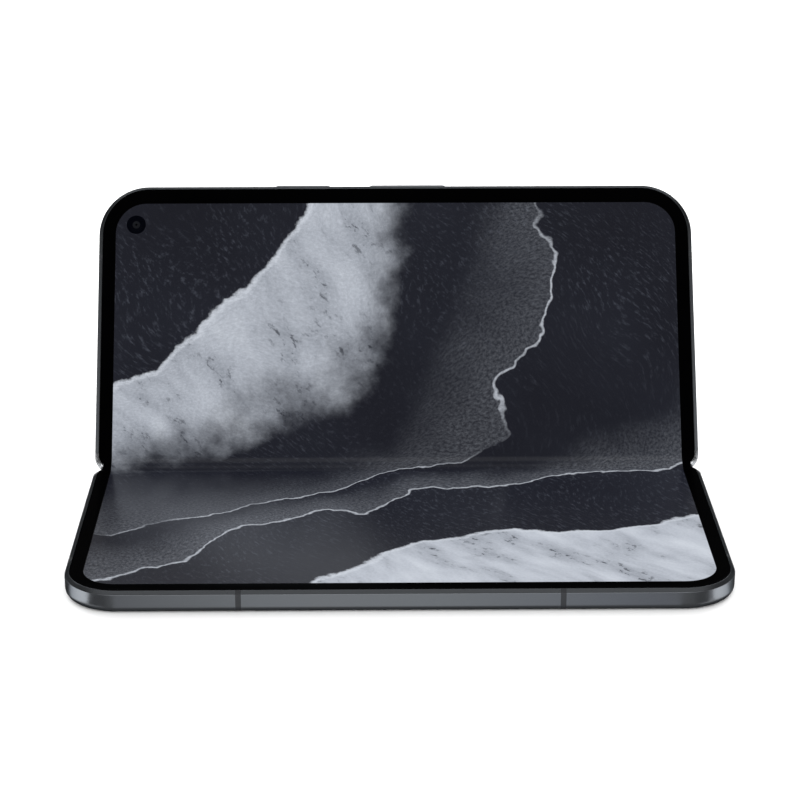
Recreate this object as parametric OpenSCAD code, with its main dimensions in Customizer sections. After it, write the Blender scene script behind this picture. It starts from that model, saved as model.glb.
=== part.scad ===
// Book-style foldable phone, built as two rigid leaves joined by a geared
// twin-axis spine. Rest pose: lower leaf flat on its outer face, upper leaf
// leaning back. Origin: centre of the lower leaf's resting face, +Z up,
// +X along the hinge, -Y towards the lower leaf's free edge.

/* [Leaves] */
// Length along the hinge
leaf_w = 155.2; // [150:0.1:160]
// Width of one leaf, from the fold centre to its free edge
leaf_l = 76.0; // [74:0.1:80]
// Thickness of one leaf
leaf_t = 5.2; // [5.2:0.05:5.6]
// Radius of the two outer corners of each leaf
corner_r = 13.0; // [10:0.5:16]
// Thickness of the cover glass and the back glass
glass_t = 0.4; // [0.3:0.05:0.4]

/* [Inner display] */
// Frame outside to lit area, along the two ends
border_x = 4.4; // [3.6:0.1:5]
// Frame outside to lit area, along the free edge
border_y = 4.7; // [3.6:0.1:5]
// Corner radius of the lit area
lit_r = 8.0; // [6:0.25:10]
// Thickness of the flexible display laminate
panel_t = 0.5; // [0.4:0.05:0.5]
// Height of the raised rim above the display
rim_h = 0.2; // [0.15:0.05:0.2]
// Width of the unlit margin between the rim and the lit area
mask_w = 0.1; // [0.1:0.1:1]

/* [Hinge] */
// Distance of each fold axis from the fold centre
axis_y = 2.5; // [2.5:0.05:2.6]
// Height of the fold axes above the outer face
axis_z = 2.8; // [2.75:0.05:2.8]
// Half of the fold angle in the rest pose
half_fold = 29.285; // [24:0.5:34]
// Number of teeth on each synchronising gear
gear_teeth = 10; // [10:2:10]
// Radius of the gear shafts
shaft_r = 0.3; // [0.25:0.01:0.32]

/* [Controls and ports] */
// Centre of the power button along the hinge direction
power_x = -24.4; // [-30:0.1:-20]
// Length of the power button
power_len = 14.3; // [10:0.1:16]
// Centre of the volume rocker along the hinge direction
volume_x = 3.15; // [0:0.05:8]
// Length of the volume rocker
volume_len = 19.9; // [16:0.1:22]
// How far the buttons stand proud of the edge
button_proud = 0.6; // [0.2:0.05:0.6]
// Position of the inner camera along the hinge direction
inner_cam_x = -67.9; // [-68.5:0.1:-66]
// Distance of the inner camera from the free edge
inner_cam_in = 10.4; // [10:0.1:12]

/* [Rear cameras] */
// Length of the raised camera island
island_l = 45.0; // [45:0.5:48]
// Width of the raised camera island
island_w = 20.0; // [19:0.5:22]
// Height of the island plate above the back glass
island_h = 1.5; // [1:0.1:2]
// Extra height of each lens ring
ring_h = 1.0; // [0.6:0.1:1.2]

/* [Hidden] */
$fn = 48;
W = leaf_w; L = leaf_l; T = leaf_t; R = corner_r; a = axis_y; zx = axis_z; phi = half_fold;
hw = W/2;
yo = L/2;
zd = T - rim_h;              // display surface
zp = zd - panel_t;           // underside of the display laminate
zs = zp - 0.15;              // underside of the steel support plate
zm = zs - 0.6;               // underside of the midplate
ue = 0.3;                    // leaf ends stop this far from the fold centre
ur = 5.0;                    // rails and display start here
kr = T - zx;                 // radius of the knuckles about their axis
kx = hw - 3.5;               // inner face of the knuckles
sx = kx - 0.2;               // end of the spine
kc = 4.6;                    // plan radius of the hinge-side corners
pitch = 2*a/3;               // gear spacing
gr = pitch/2;                // pitch radius
mx = [-48, 48];              // synchronising modules
wall = 1.9;
cam_y = L - inner_cam_in;
isl_x0 = -hw + 7; isl_y1 = L - 7;
isl_x1 = isl_x0 + island_l; isl_y0 = isl_y1 - island_w;
cam_xs = [for (i = [0:2]) isl_x0 + 8.8 + i*11.8];
cam_yc = (isl_y0 + isl_y1)/2;
ez = 1.0; eps = 0.02;
alu = [0.42, 0.43, 0.46]; steel = [0.75, 0.76, 0.78]; blk = [0.03, 0.03, 0.035];
brass = [0.8, 0.65, 0.3]; pcb = [0.05, 0.2, 0.12];

// ---- placement: each leaf is drawn flat with its fold centre at y = 0 and
// its body towards +Y; these put it in the rest pose
module lo() translate([0, yo, 0]) mirror([0, 1, 0]) children();
module sp() translate([0, yo - a, zx]) rotate([phi, 0, 0]) translate([0, a, -zx]) children();
module up() translate([0, yo - a, zx]) rotate([phi, 0, 0]) translate([0, 2*a, 0])
  rotate([phi, 0, 0]) translate([0, -a, -zx]) children();

// ---- shared shapes
module box(x0, x1, y0, y1, z0, z1) translate([x0, y0, z0]) cube([x1 - x0, y1 - y0, z1 - z0]);
module rr(x0, x1, y0, y1, r) {
  translate([x0 + r, y0]) square([x1 - x0 - 2*r, y1 - y0]);
  translate([x0, y0 + r]) square([x1 - x0, y1 - y0 - 2*r]);
  for (x = [x0 + r, x1 - r], y = [y0 + r, y1 - r]) translate([x, y]) circle(r = r);
}
module rbox(x0, x1, y0, y1, z0, z1, r) translate([0, 0, z0]) linear_extrude(z1 - z0) rr(x0, x1, y0, y1, r);
// leaf outline inset by i, starting at y0, square towards the hinge
module plan(i, y0) {
  translate([-hw + i, y0]) square([W - 2*i, L - R - y0]);
  translate([-hw + R, y0]) square([W - 2*R, L - i - y0]);
  for (s = [-1, 1]) translate([s*(hw - R), L - R]) circle(r = R - i);
}
// outer glass outline, with small corners at the hinge side
module glass2d(i) {
  c = 3.4;
  translate([-hw + i, i + c]) square([W - 2*i, L - R - i - c]);
  translate([-hw + R, i]) square([W - 2*R, L - 2*i]);
  translate([-hw + i + c, i]) square([W - 2*i - 2*c, L - R - i]);
  for (s = [-1, 1]) {
    translate([s*(hw - R), L - R]) circle(r = R - i);
    translate([s*(hw - i - c), i + c]) circle(r = c);
  }
}
// inside edge of the raised rim: the lit area plus its unlit margin
module rim2d(y0) {
  x1 = hw - border_x + mask_w; y1 = L - border_y + mask_w; r = lit_r + mask_w;
  translate([-x1, y0]) square([2*x1, y1 - r - y0]);
  translate([-x1 + r, y0]) square([2*x1 - 2*r, y1 - y0]);
  for (s = [-1, 1]) translate([s*(x1 - r), y1 - r]) circle(r = r);
}
// rail profile: distance in from the outline against height
rail = concat([for (i = [0:6]) [1.2 - 1.2*sin(i*15), 1.3 - 1.2*cos(i*15)]],
  [[0, T - 0.65], [0.2, T - 0.45], [0.93, T], [1.04, T], [1.04, zp], [wall, zp], [wall, 0.8],
   [2.6, 0.8], [2.6, glass_t + eps], [1.2, glass_t + eps]]);
module side_bar(y0, y1) translate([0, y1, 0]) rotate([90, 0, 0])
  linear_extrude(y1 - y0) polygon([for (p = rail) [hw - p[0], p[1]]]);
module end_bar(x0, x1) translate([x0, 0, 0]) rotate([90, 0, 90])
  linear_extrude(x1 - x0) polygon([for (p = rail) [L - p[0], p[1]]]);
module rails() {
  for (s = [0, 1]) mirror([s, 0, 0]) {
    side_bar(ur, L - R);
    translate([hw - R, L - R, 0]) rotate_extrude(angle = 90) polygon([for (p = rail) [R - p[0], p[1]]]);
  }
  end_bar(-hw + R, hw - R);
}
// upright slot across the end rail, stadium shaped
module end_slot(x, len, h, z, y0, y1) translate([x, y1, z]) rotate([90, 0, 0]) linear_extrude(y1 - y0) {
  square([len - h, h], center = true);
  for (s = [-1, 1]) translate([s*(len - h)/2, 0]) circle(r = h/2);
}
// stadium slot through the side rail at +X
module side_slot(y, len, h, z, x0, x1) translate([x0, y, z]) rotate([90, 0, 90]) linear_extrude(x1 - x0) {
  square([len - h, h], center = true);
  for (s = [-1, 1]) translate([s*(len - h)/2, 0]) circle(r = h/2);
}
// boxes where the antenna bands cross the rails: xs on the free edge, ys on the ends
module band_cuts(xs, ys) {
  for (x = xs) box(x - 0.65, x + 0.65, L - 1.0, L + 1, -1, T + 1);
  for (y = ys, s = [-1, 1]) box(min(s*(hw - 1), s*(hw + 1)), max(s*(hw - 1), s*(hw + 1)), y - 0.65, y + 0.65, -1, T + 1);
}
lower_xs = [-36.9, 36.9]; upper_xs = [-36.7, 37.2]; band_ys = [L - 19];
module core() {
  translate([0, 0, zm]) linear_extrude(zs - zm) plan(1.5, ur + 0.1);
  // hinge-side wall, lip under the spine and lip edge
  box(-hw + 1.5, hw - 1.5, ur + 0.1, ur + 0.9, glass_t + eps, zs);
  box(-kx + 0.1, kx - 0.1, ue, ur + 0.9, glass_t + eps, glass_t + 0.32);
  box(-kx + 0.1, kx - 0.1, ue, 1.2, 0.1, glass_t + 0.32);
  for (x = [-30, 30]) translate([x, ur + 4.5, zm - 1.2]) cylinder(r = 1.4, h = 1.3);
}
module hinge_windows() {
  for (x = [-48, 0, 48]) box(x - 5.2, x + 5.2, ur, ur + 1, 2.2, zm);
  for (s = [-1, 1]) box(s*72.8 - 2.95, s*72.8 + 2.95, ur, ur + 1, 2.2, zm);
  for (x = [-51, -45, -3, 3, 45, 51]) translate([x, 9.5, zm - 1]) cylinder(r = 0.45, h = 3);
  for (s = [-1, 1]) translate([s*72.6, 9.5, zm - 1]) cylinder(r = 0.45, h = 3);
}

// ---- lower leaf
module lower_frame() color(alu) lo() difference() {
  union() { rails(); core(); }
  hinge_windows();
  band_cuts(lower_xs, band_ys);
  box(hw - 3, hw + 1, 29.9, 45.1, 1.6, 3.2);
  translate([hw - 3, 49, 2.4]) rotate([0, 90, 0]) cylinder(r = 0.45, h = 4, $fn = 24);
  translate([-hw - 1, 37.5, 2.4]) rotate([0, 90, 0]) cylinder(r = 0.4, h = 4, $fn = 24);
}
module lower_antenna_bands() color([0.2, 0.2, 0.21]) lo() intersection() {
  rails();
  band_cuts(lower_xs, band_ys);
}
module bezel() {
  difference() {
    translate([0, 0, zp]) linear_extrude(T - zp) plan(1.06, ur);
    translate([0, 0, zp - 1]) linear_extrude(zd - zp + 1) plan(1.42, ur - 1);
    translate([0, 0, zp - 1]) linear_extrude(3) rim2d(ur - 1);
  }
}
module lower_inner_bezel() color(blk) lo() bezel();
module display_half() translate([0, 0, zp]) linear_extrude(panel_t) plan(1.45, ur);
module inner_display_lower() color([0.12, 0.13, 0.16]) lo() display_half();
module support_half() translate([0, 0, zs]) linear_extrude(zp - zs) plan(2.0, ur + 0.1);
module lower_support_plate() color(steel) lo() difference() {
  support_half();
  for (i = [0:60]) box(-72 + i*2.4, -72 + i*2.4 + 0.5, ur + 1, ur + 4, zs - 1, zp + 1);
}
module cover_glass() color([0.05, 0.05, 0.06]) lo() linear_extrude(glass_t) glass2d(1.25);
module cover_display_panel() color([0.02, 0.02, 0.03]) lo() difference() {
  rbox(-hw + 3.2, hw - 3.2, ur + 1.4, L - 3.2, glass_t + eps, 1.0, R - 3.2);
  translate([-66, 38, 0]) cylinder(r = 2.7, h = 3);
}
module cover_camera() color(blk) lo() {
  translate([-66, 38, glass_t + eps]) cylinder(r = 2.5, h = 2.6);
  box(-69.2, -62.8, 34.8, 41.2, 1.2, zm - 0.1);
}
module earpiece_speaker() color([0.15, 0.15, 0.16]) lo() difference() {
  rbox(-75.4, -70.2, 26, 50, 1.1, zm - 0.15, 0.8);
  box(-76, -74.6, 30, 46, 1.6, 3.0);
}
module lower_battery() color([0.1, 0.1, 0.11]) lo() {
  rbox(-58, 40, 16, 66, 1.1, zm - 0.1, 2);
  box(-20, 6, 66, 68, 1.6, 2.6);
}
module lower_subboard() color(pcb) lo() difference() {
  union() {
    box(43, 50, 14, 68, 1.6, 2.2);
    box(50, 70, 50, 68, 1.6, 2.2);
    box(52, 60, 53, 62, 2.2, 3.3);
    box(44, 49, 20, 34, 2.2, 3.1);
  }
  for (p = [[46, 65.5], [67.5, 65.5]]) translate([p[0], p[1], 1]) cylinder(r = 0.8, h = 2);
}
module sim_tray() color(alu) lo() difference() {
  union() {
    rbox_x(30, 45, 1.7, 3.1, hw - 1.3, hw);
    box(hw - 20, hw - 1.3, 31, 44, 2.0, 2.75);
  }
  box(hw - 19, hw - 6.7, 32.1, 40.9, 1.9, 2.6);
}
// plate with rounded ends, drawn in the end face
module rbox_x(y0, y1, z0, z1, x0, x1) side_slot((y0 + y1)/2, y1 - y0, z1 - z0, (z0 + z1)/2, x0, x1);
module sim_reader() color(steel) lo() difference() {
  box(hw - 24, hw - 2.1, 30, 45, 1.5, 3.25);
  box(hw - 22.5, hw, 30.9, 44.1, 1.85, 2.9);
}
// ---- hinge pieces carried by a leaf
module tooth_gear(ph, x0, x1) translate([x0, 0, 0]) rotate([90, 0, 90]) linear_extrude(x1 - x0)
  rotate(ph) {
    circle(r = gr - 0.13, $fn = 40);
    for (i = [0:gear_teeth - 1]) rotate(i*360/gear_teeth)
      polygon([[gr - 0.25, -0.145], [gr - 0.1, -0.13], [gr, -0.095], [gr + 0.1, -0.045],
               [gr + 0.1, 0.045], [gr, 0.095], [gr - 0.1, 0.13], [gr - 0.25, 0.145]]);
  }
module arm(x, geared, ph) difference() {
  union() {
    translate([0, a, zx]) {
      if (geared) tooth_gear(ph, x - 1, x + 1);
      else translate([x - 1, 0, 0]) rotate([0, 90, 0]) cylinder(r = 0.9, h = 2);
    }
    box(x - 1, x + 1, a + 0.6, ur + 0.4, zx - 0.35, zm - 0.05);
    box(x - 5, x + 5, ur + 0.25, 12.5, zm - 0.85, zm - 0.05);
  }
  translate([x - 3, a, zx]) rotate([0, 90, 0]) cylinder(r = shaft_r + 0.03, h = 6, $fn = 24);
  for (s = [-3, 3]) translate([x + s, 9.5, 0]) cylinder(r = 0.45, h = 5, $fn = 24);
}
module lower_hinge_arms() color(steel) lo() { for (x = mx) arm(x, true, 0); arm(0, false, 0); }
module screws() {
  for (x = [-51, -45, -3, 3, 45, 51]) translate([x, 9.5, 0]) screw();
  for (s = [-1, 1]) translate([s*72.6, 9.5, 0]) screw();
}
module screw() {
  translate([0, 0, zm - 0.85]) cylinder(r = 0.43, h = 1.4, $fn = 24);
  difference() {
    translate([0, 0, zm - 1.4]) cylinder(r = 0.85, h = 0.55, $fn = 32);
    translate([0, 0, zm - 1.6]) cylinder(r = 0.35, h = 0.45, $fn = 6);
  }
}
module lower_hinge_screws() color([0.3, 0.3, 0.32]) lo() screws();
// knuckle section in the plane across the hinge
kn = concat([[ur - 0.02, 0.1], [ur - 0.02, T]],
  [for (i = [0:12]) [a - kr*sin(i*7.5), zx + kr*cos(i*7.5)]],
  [[ue, zx - 0.5], [ue, 1.1], [ue + 0.25, 0.45], [ue + 0.9, 0.1]]);
// space above the knuckle where the flexible display passes over it
over = concat([[ur + 1, zp - 0.1], [a, zp - 0.1]],
  [for (i = [0:12]) [a - (zp - 0.1 - zx)*sin(i*7.5), zx + (zp - 0.1 - zx)*cos(i*7.5)]],
  [[-1, zx], [-1, 9], [ur + 1, 9]]);
module corner_plan(i) { // hinge-side corner of the outline, inset by i
  translate([0, ur - 0.7]) square([hw - i, 20]);
  translate([0, -5]) square([hw - kc, 20]);
  translate([hw - kc, ur - 0.7]) circle(r = kc - i);
}
module over_shape() intersection() {
  translate([kx - 1, 0, 0]) rotate([90, 0, 90]) linear_extrude(4) polygon(over);
  translate([0, 0, -1]) linear_extrude(12) corner_plan(1.05);
}
module knuckle() difference() {
  union() {
    intersection() {
      translate([kx, 0, 0]) rotate([90, 0, 90]) linear_extrude(3.5) polygon(kn);
      translate([0, 0, -1]) linear_extrude(9) corner_plan(0);
    }
    box(kx + 0.1, hw - 2, ur - 0.6, ur + 1.4, 2.35, zm - 0.1);
    box(70, hw - 2, ur + 0.2, 12, zm - 0.85, zm - 0.05);
  }
  translate([0, 0, -1]) linear_extrude(1 + glass_t + eps) glass2d(1.2);
  translate([kx - 1, a, zx]) rotate([0, 90, 0]) cylinder(r = 0.65, h = 3.4);
  over_shape();
  translate([72.6, 9.5, 0]) cylinder(r = 0.45, h = 5, $fn = 24);
}
module knuckles() for (s = [0, 1]) mirror([s, 0, 0]) knuckle();
module lower_knuckles() color(steel) lo() knuckles();
module magnets(xs) for (x = xs) rbox(x - 5, x + 5, L - 4.6, L - 2.2, 1.3, 3.4, 0.4);
module lower_magnets() color([0.55, 0.55, 0.58]) lo() magnets([-60, 60]);

// ---- spine
module stad(r) for (s = [-1, 1]) translate([s*a, zx]) circle(r = r);
module spine_cover() color([0.35, 0.36, 0.39]) sp() difference() {
  translate([-sx, 0, 0]) rotate([90, 0, 90]) linear_extrude(2*sx) difference() {
    union() { stad(1.9); translate([-a, zx - 1.9]) square([2*a, 1.9]); }
    stad(1.4);
    translate([-a, zx - 1.4]) square([2*a, 3]);
    translate([-10, zx - 0.8]) square([20, 10]);
  }
  for (x = screw_xs) translate([x, 0, zx - 1.8]) cylinder(r = 0.42, h = 1, $fn = 24);
}
screw_xs = [-52, -44, -6.2, 6.2, 44, 52];
module cheek(x0, x1, r) translate([x0, 0, 0]) rotate([90, 0, 90]) linear_extrude(x1 - x0) {
  for (s = [-1, 1]) translate([s*a, zx]) circle(r = r);
  translate([-a, zx - 1.4]) square([2*a, 2.75]);
}
module hinge_brackets() color(steel) sp() difference() {
  union() {
    for (x = mx) {
      cheek(x - 2.6, x - 1.2, 1.2);
      cheek(x + 1.2, x + 2.6, 1.2);
      box(x - 5, x - 2.6, -1.4, 1.4, zx - 1.4, zx - 0.8);
      box(x + 2.6, x + 5, -1.4, 1.4, zx - 1.4, zx - 0.8);
    }
    cheek(-4.2, -2.6, 1.2);
    cheek(2.6, 4.2, 1.2);
    box(-7.2, -4.2, -1.4, 1.4, zx - 1.4, zx - 0.8);
    box(4.2, 7.2, -1.4, 1.4, zx - 1.4, zx - 0.8);
    // ledges that carry the centre strip between the modules
    for (x = [-66, -30, -17, 17, 30, 66]) box(x - 1.5, x + 1.5, -1.0, 1.0, zx - 1.4, zx + 1.35);
  }
  for (x = mx, y = [-a, -a/3, a/3, a]) translate([x - 4, y, zx]) rotate([0, 90, 0]) cylinder(r = shaft_r + 0.01, h = 8, $fn = 24);
  for (y = [-a, a]) translate([-5, y, zx]) rotate([0, 90, 0]) cylinder(r = shaft_r + 0.01, h = 10, $fn = 24);
  for (x = screw_xs) translate([x, 0, 0]) cylinder(r = 0.45, h = 5, $fn = 24);
}
module hinge_shafts() color([0.6, 0.6, 0.62]) sp() {
  for (x = mx, y = [-a, -a/3, a/3, a]) translate([x - 2.7, y, zx]) rotate([0, 90, 0]) cylinder(r = shaft_r, h = 5.4, $fn = 24);
  for (y = [-a, a]) translate([-4.3, y, zx]) rotate([0, 90, 0]) cylinder(r = shaft_r, h = 8.6, $fn = 24);
}
module spine_end_blocks() color([0.35, 0.36, 0.39]) sp() for (s = [0, 1]) mirror([s, 0, 0]) difference() {
  translate([sx - 3, 0, 0]) rotate([90, 0, 90]) linear_extrude(3) {
    for (q = [-1, 1]) translate([q*a, zx]) circle(r = 1.3);
    translate([-a, zx - 1.38]) square([2*a, 2.7]);
  }
  for (q = [-1, 1]) translate([sx - 2.5, q*a, zx]) rotate([0, 90, 0]) cylinder(r = 0.61, h = 4, $fn = 32);
}
module hinge_end_pins() color([0.6, 0.6, 0.62]) sp() for (s = [0, 1]) mirror([s, 0, 0])
  for (q = [-1, 1]) translate([sx - 2.45, q*a, zx]) rotate([0, 90, 0]) cylinder(r = 0.6, h = 4.9, $fn = 32);
module idlers(y, ph) for (x = mx) difference() {
  translate([0, 0, 0]) tooth_gear(ph, x - 1, x + 1);
  translate([x - 2, 0, 0]) rotate([0, 90, 0]) cylinder(r = shaft_r + 0.03, h = 4, $fn = 24);
}
module idler_gears_a() color(brass) sp() translate([0, -a/3, zx]) rotate([phi, 0, 0]) idlers(0, 18);
module idler_gears_b() color(brass) sp() translate([0, a/3, zx]) rotate([-phi, 0, 0]) idlers(0, 0);
module friction_washers() color([0.5, 0.5, 0.52]) sp()
  for (y = [-a, a], s = [-1, 1], i = [0:3]) translate([s*(1.22 + i*0.34) - 0.14 + s*0.14, y, zx]) rotate([0, 90, 0]) difference() {
    cylinder(r = 0.85, h = 0.28, $fn = 32);
    translate([0, 0, -1]) cylinder(r = shaft_r + 0.03, h = 3, $fn = 24);
  }
module centre_support_strip() color(steel) sp() box(-sx + 3.2, sx - 3.2, -1.2, 1.2, zx + 1.35, zx + 1.53);
module bracket_screws() color([0.3, 0.3, 0.32]) sp() for (x = screw_xs) translate([x, 0, 0]) {
  translate([0, 0, zx - 1.75]) cylinder(r = 0.4, h = 0.95, $fn = 24);
  translate([0, 0, zx - 0.8]) cylinder(r = 0.8, h = 0.4, $fn = 32);
}
// fillet of the folded display, tangent to both leaves at their display edges
fy = a - (zd - zx)*sin(phi); fz = zx + (zd - zx)*cos(phi) - fy*tan(phi);
fR = (ur - a + fy/cos(phi))/tan(phi);
fzc = fz + fR/cos(phi);
module fold_arc(x0, x1, r0, r1) translate([x0, 0, fzc]) rotate([90, 0, 90]) linear_extrude(x1 - x0)
  polygon(concat([for (i = [-8:8]) r0*[sin(i*phi/8), -cos(i*phi/8)]],
    [for (i = [8:-1:-8]) r1*[sin(i*phi/8), -cos(i*phi/8)]]));
strip_x = hw - 2.1;          // half width of the display where it crosses the fold
module display_fold_strip() color([0.12, 0.13, 0.16]) sp() fold_arc(-strip_x, strip_x, fR, fR + panel_t);
module fold_border_strips() color(blk) sp() for (s = [0, 1]) mirror([s, 0, 0])
  fold_arc(hw - border_x + mask_w, strip_x, fR - rim_h, fR);

// ---- upper leaf
usb_y = 40; usb_z = 2.4;
module upper_frame() color(alu) up() difference() {
  union() { rails(); core(); }
  hinge_windows();
  band_cuts(upper_xs, band_ys);
  end_slot(power_x, power_len + 0.16, 2.06, 2.7, L - 3, L + 1);
  end_slot(volume_x, volume_len + 0.24, 2.14, 2.7, L - 3, L + 1);
  side_slot(usb_y, 8.34, 2.56, usb_z, hw - 3, hw + 1);
  box(hw - 9.2, hw - 1.2, usb_y - 4.75, usb_y + 4.75, 0.5, 4.1);
  for (d = [1.6, 3.5, 5.4], s = [-1, 1]) translate([hw - 3, L - 19 + s*d, 2.4]) rotate([0, 90, 0]) cylinder(r = 0.55, h = 4, $fn = 24);
  for (y = [30]) translate([hw - 3, y, 2.4]) rotate([0, 90, 0]) cylinder(r = 0.4, h = 4, $fn = 24);
  translate([-hw - 1, 40, 2.4]) rotate([0, 90, 0]) cylinder(r = 0.4, h = 4, $fn = 24);
  translate([inner_cam_x, cam_y, 0]) cylinder(r = 2.6, h = 6);
  for (x = cam_xs) translate([x, cam_yc, 0]) cylinder(r = 4.5, h = 6);
}
module upper_antenna_bands() color([0.2, 0.2, 0.21]) up() intersection() {
  rails();
  band_cuts(upper_xs, band_ys);
}
module upper_inner_bezel() color(blk) up() bezel();
module inner_display_upper() color([0.12, 0.13, 0.16]) up() difference() {
  display_half();
  translate([inner_cam_x, cam_y, 0]) cylinder(r = 2.3, h = 6);
}
module upper_support_plate() color(steel) up() difference() {
  support_half();
  for (i = [0:60]) box(-72 + i*2.4, -72 + i*2.4 + 0.5, ur + 1, ur + 4, zs - 1, zp + 1);
  translate([inner_cam_x, cam_y, 0]) cylinder(r = 2.6, h = 6);
}
module back_glass() color([0.13, 0.14, 0.16]) up() difference() {
  linear_extrude(glass_t) glass2d(1.25);
  for (x = cam_xs) translate([x, cam_yc, -1]) cylinder(r = 4.6, h = 3);
  translate([isl_x1 - 4.6, cam_yc, -1]) cylinder(r = 2.1, h = 3);
}
module camera_island() color([0.3, 0.31, 0.33]) up() difference() {
  rbox(isl_x0, isl_x1, isl_y0, isl_y1, -island_h, 0, 7.5);
  for (x = cam_xs) translate([x, cam_yc, -3]) cylinder(r = 4.5, h = 6);
  translate([isl_x1 - 4.6, cam_yc, -3]) cylinder(r = 2.0, h = 6);
  translate([isl_x1 - 4.6, cam_yc + 5.2, -3]) cylinder(r = 0.35, h = 6, $fn = 24);
}
module camera_rings() color(steel) up() for (x = cam_xs) translate([x, cam_yc, -island_h - ring_h]) difference() {
  cylinder(r = 5.4, h = ring_h);
  translate([0, 0, -1]) cylinder(r = 4.5, h = 3);
}
module camera_glasses() color([0.05, 0.05, 0.07]) up() for (x = cam_xs)
  translate([x, cam_yc, -island_h - ring_h + 0.15]) cylinder(r = 4.45, h = 0.5);
module camera_modules() color(blk) up() for (x = cam_xs) translate([x, cam_yc, 0]) {
  difference() {
    translate([0, 0, -island_h - ring_h + 0.7]) cylinder(r = 4.2, h = island_h + ring_h + 1.2);
    translate([0, 0, -island_h - ring_h + 0.5]) cylinder(r = 2.6, h = 0.8);
  }
  translate([0, 0, -island_h - ring_h + 1.1]) cylinder(r = 2.5, h = 0.6);
  box(-4.3, 4.3, -4.3, 4.3, 1.0, zm - 0.1);
}
module flash_window() color([0.95, 0.93, 0.85]) up() translate([isl_x1 - 4.6, cam_yc, -island_h]) {
  cylinder(r = 1.9, h = 0.7);
  box(-1.1, 1.1, -1.1, 1.1, 0.7, island_h + 0.9);
}
module inner_camera() color(blk) up() translate([inner_cam_x, cam_y, 0]) difference() {
  union() {
    translate([0, 0, 2.2]) cylinder(r = 2.25, h = zd - 2.25);
    box(-2.25, 2.25, -2.25, 2.25, 1.2, 2.2);
  }
  translate([0, 0, zd - 0.35]) cylinder(r = 1.0, h = 1, $fn = 32);
}
module power_button() color(alu) up() {
  end_slot(power_x, power_len, 1.9, 2.7, L - 2.7, L + button_proud);
  box(power_x - power_len/2 - 0.6, power_x + power_len/2 + 0.6, L - 2.7, L - 2.05, 1.6, zm - 0.1);
}
module volume_rocker() color(alu) up() {
  end_slot(volume_x, volume_len, 1.9, 2.7, L - 2.7, L + button_proud);
  box(volume_x - volume_len/2 - 0.6, volume_x + volume_len/2 + 0.6, L - 2.8, L - 2.25, 1.6, zm - 0.1);
  // nub that the rocker tilts on
  translate([volume_x, L - 2.6, 1.6]) cylinder(r = 0.5, h = zm - 1.7);
}
module button_switches() color(brass) up() {
  box(power_x - 6, volume_x + 12, L - 3.9, L - 3.65, 1.5, zm - 0.1);
  for (x = [power_x, volume_x - 6.5, volume_x + 6.5]) translate([x, L - 3.65, 2.6]) rotate([-90, 0, 0]) cylinder(r = 0.9, h = 0.5);
}
module mainboard() color(pcb) up() difference() {
  union() {
    box(-73, -20, 13.5, cam_yc - 12.2, 2.6, 3.2);
    box(-20, -13, 13.5, 68, 2.6, 3.2);
  }
  for (p = [[-70, 17], [-24, 17], [-16.5, 65]]) translate([p[0], p[1], 1]) cylinder(r = 0.8, h = 4);
}
module shield_cans() color([0.7, 0.7, 0.7]) up() {
  rbox(-66, -46, 16, cam_yc - 13.6, 1.2, 2.6, 1);
  rbox(-44, -28, 16, cam_yc - 13.6, 1.2, 2.6, 1);
}
module upper_battery() color([0.1, 0.1, 0.11]) up() {
  rbox(-11, 56, 14, 67, 1.1, zm - 0.1, 2);
  box(10, 36, 67, 69, 1.6, 2.6);
}
module usb_c_port() color([0.6, 0.6, 0.62]) up() {
  difference() {
    side_slot(usb_y, 8.94, 3.16, usb_z, hw - 8.9, hw - 1.3);
    side_slot(usb_y, 8.34, 2.56, usb_z, hw - 8.2, hw + 1);
  }
  box(hw - 8.4, hw - 2.2, usb_y - 3.35, usb_y + 3.35, usb_z - 0.35, usb_z + 0.35);
}
module loudspeaker() color([0.15, 0.15, 0.16]) up() difference() {
  rbox(60, hw - 2.15, 49.4, 65, 1.1, zm - 0.1, 1);
  box(hw - 3, hw, 50.8, 63.2, 1.7, 3.1);
}
module charging_coil() color([0.75, 0.45, 0.25]) up() translate([22, 40, glass_t + 0.1]) for (i = [0:5]) difference() {
  cylinder(r = 22 - i*1.6, h = 0.45, $fn = 96);
  translate([0, 0, -1]) cylinder(r = 21 - i*1.6, h = 3, $fn = 96);
}
module vibration_motor() color([0.7, 0.7, 0.72]) up() rbox(60, 73, 14, 24, 1.1, zm - 0.15, 1.5);
module upper_hinge_arms() color(steel) up() { for (x = mx) arm(x, true, 18); arm(0, false, 0); }
module upper_knuckles() color(steel) up() knuckles();
module upper_hinge_screws() color([0.3, 0.3, 0.32]) up() screws();
module upper_magnets() color([0.55, 0.55, 0.58]) up() magnets([60]);

lower_frame();
lower_antenna_bands();
lower_inner_bezel();
inner_display_lower();
lower_support_plate();
cover_glass();
cover_display_panel();
cover_camera();
earpiece_speaker();
lower_battery();
lower_subboard();
sim_tray();
sim_reader();
lower_hinge_arms();
lower_knuckles();
lower_hinge_screws();
lower_magnets();
spine_cover();
hinge_brackets();
hinge_shafts();
spine_end_blocks();
hinge_end_pins();
idler_gears_a();
idler_gears_b();
friction_washers();
centre_support_strip();
bracket_screws();
display_fold_strip();
fold_border_strips();
upper_frame();
upper_antenna_bands();
upper_inner_bezel();
inner_display_upper();
upper_support_plate();
back_glass();
camera_island();
camera_rings();
camera_glasses();
camera_modules();
flash_window();
inner_camera();
power_button();
volume_rocker();
button_switches();
mainboard();
shield_cans();
upper_battery();
usb_c_port();
loudspeaker();
charging_coil();
vibration_motor();
upper_hinge_arms();
upper_knuckles();
upper_hinge_screws();
upper_magnets();
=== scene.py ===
# A book-style foldable phone standing half open: finishes, detailed shells, a
# pale studio floor, soft light and one camera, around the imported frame.
import math

import bmesh
import bpy
import numpy as np
from mathutils import Matrix, Vector


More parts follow.
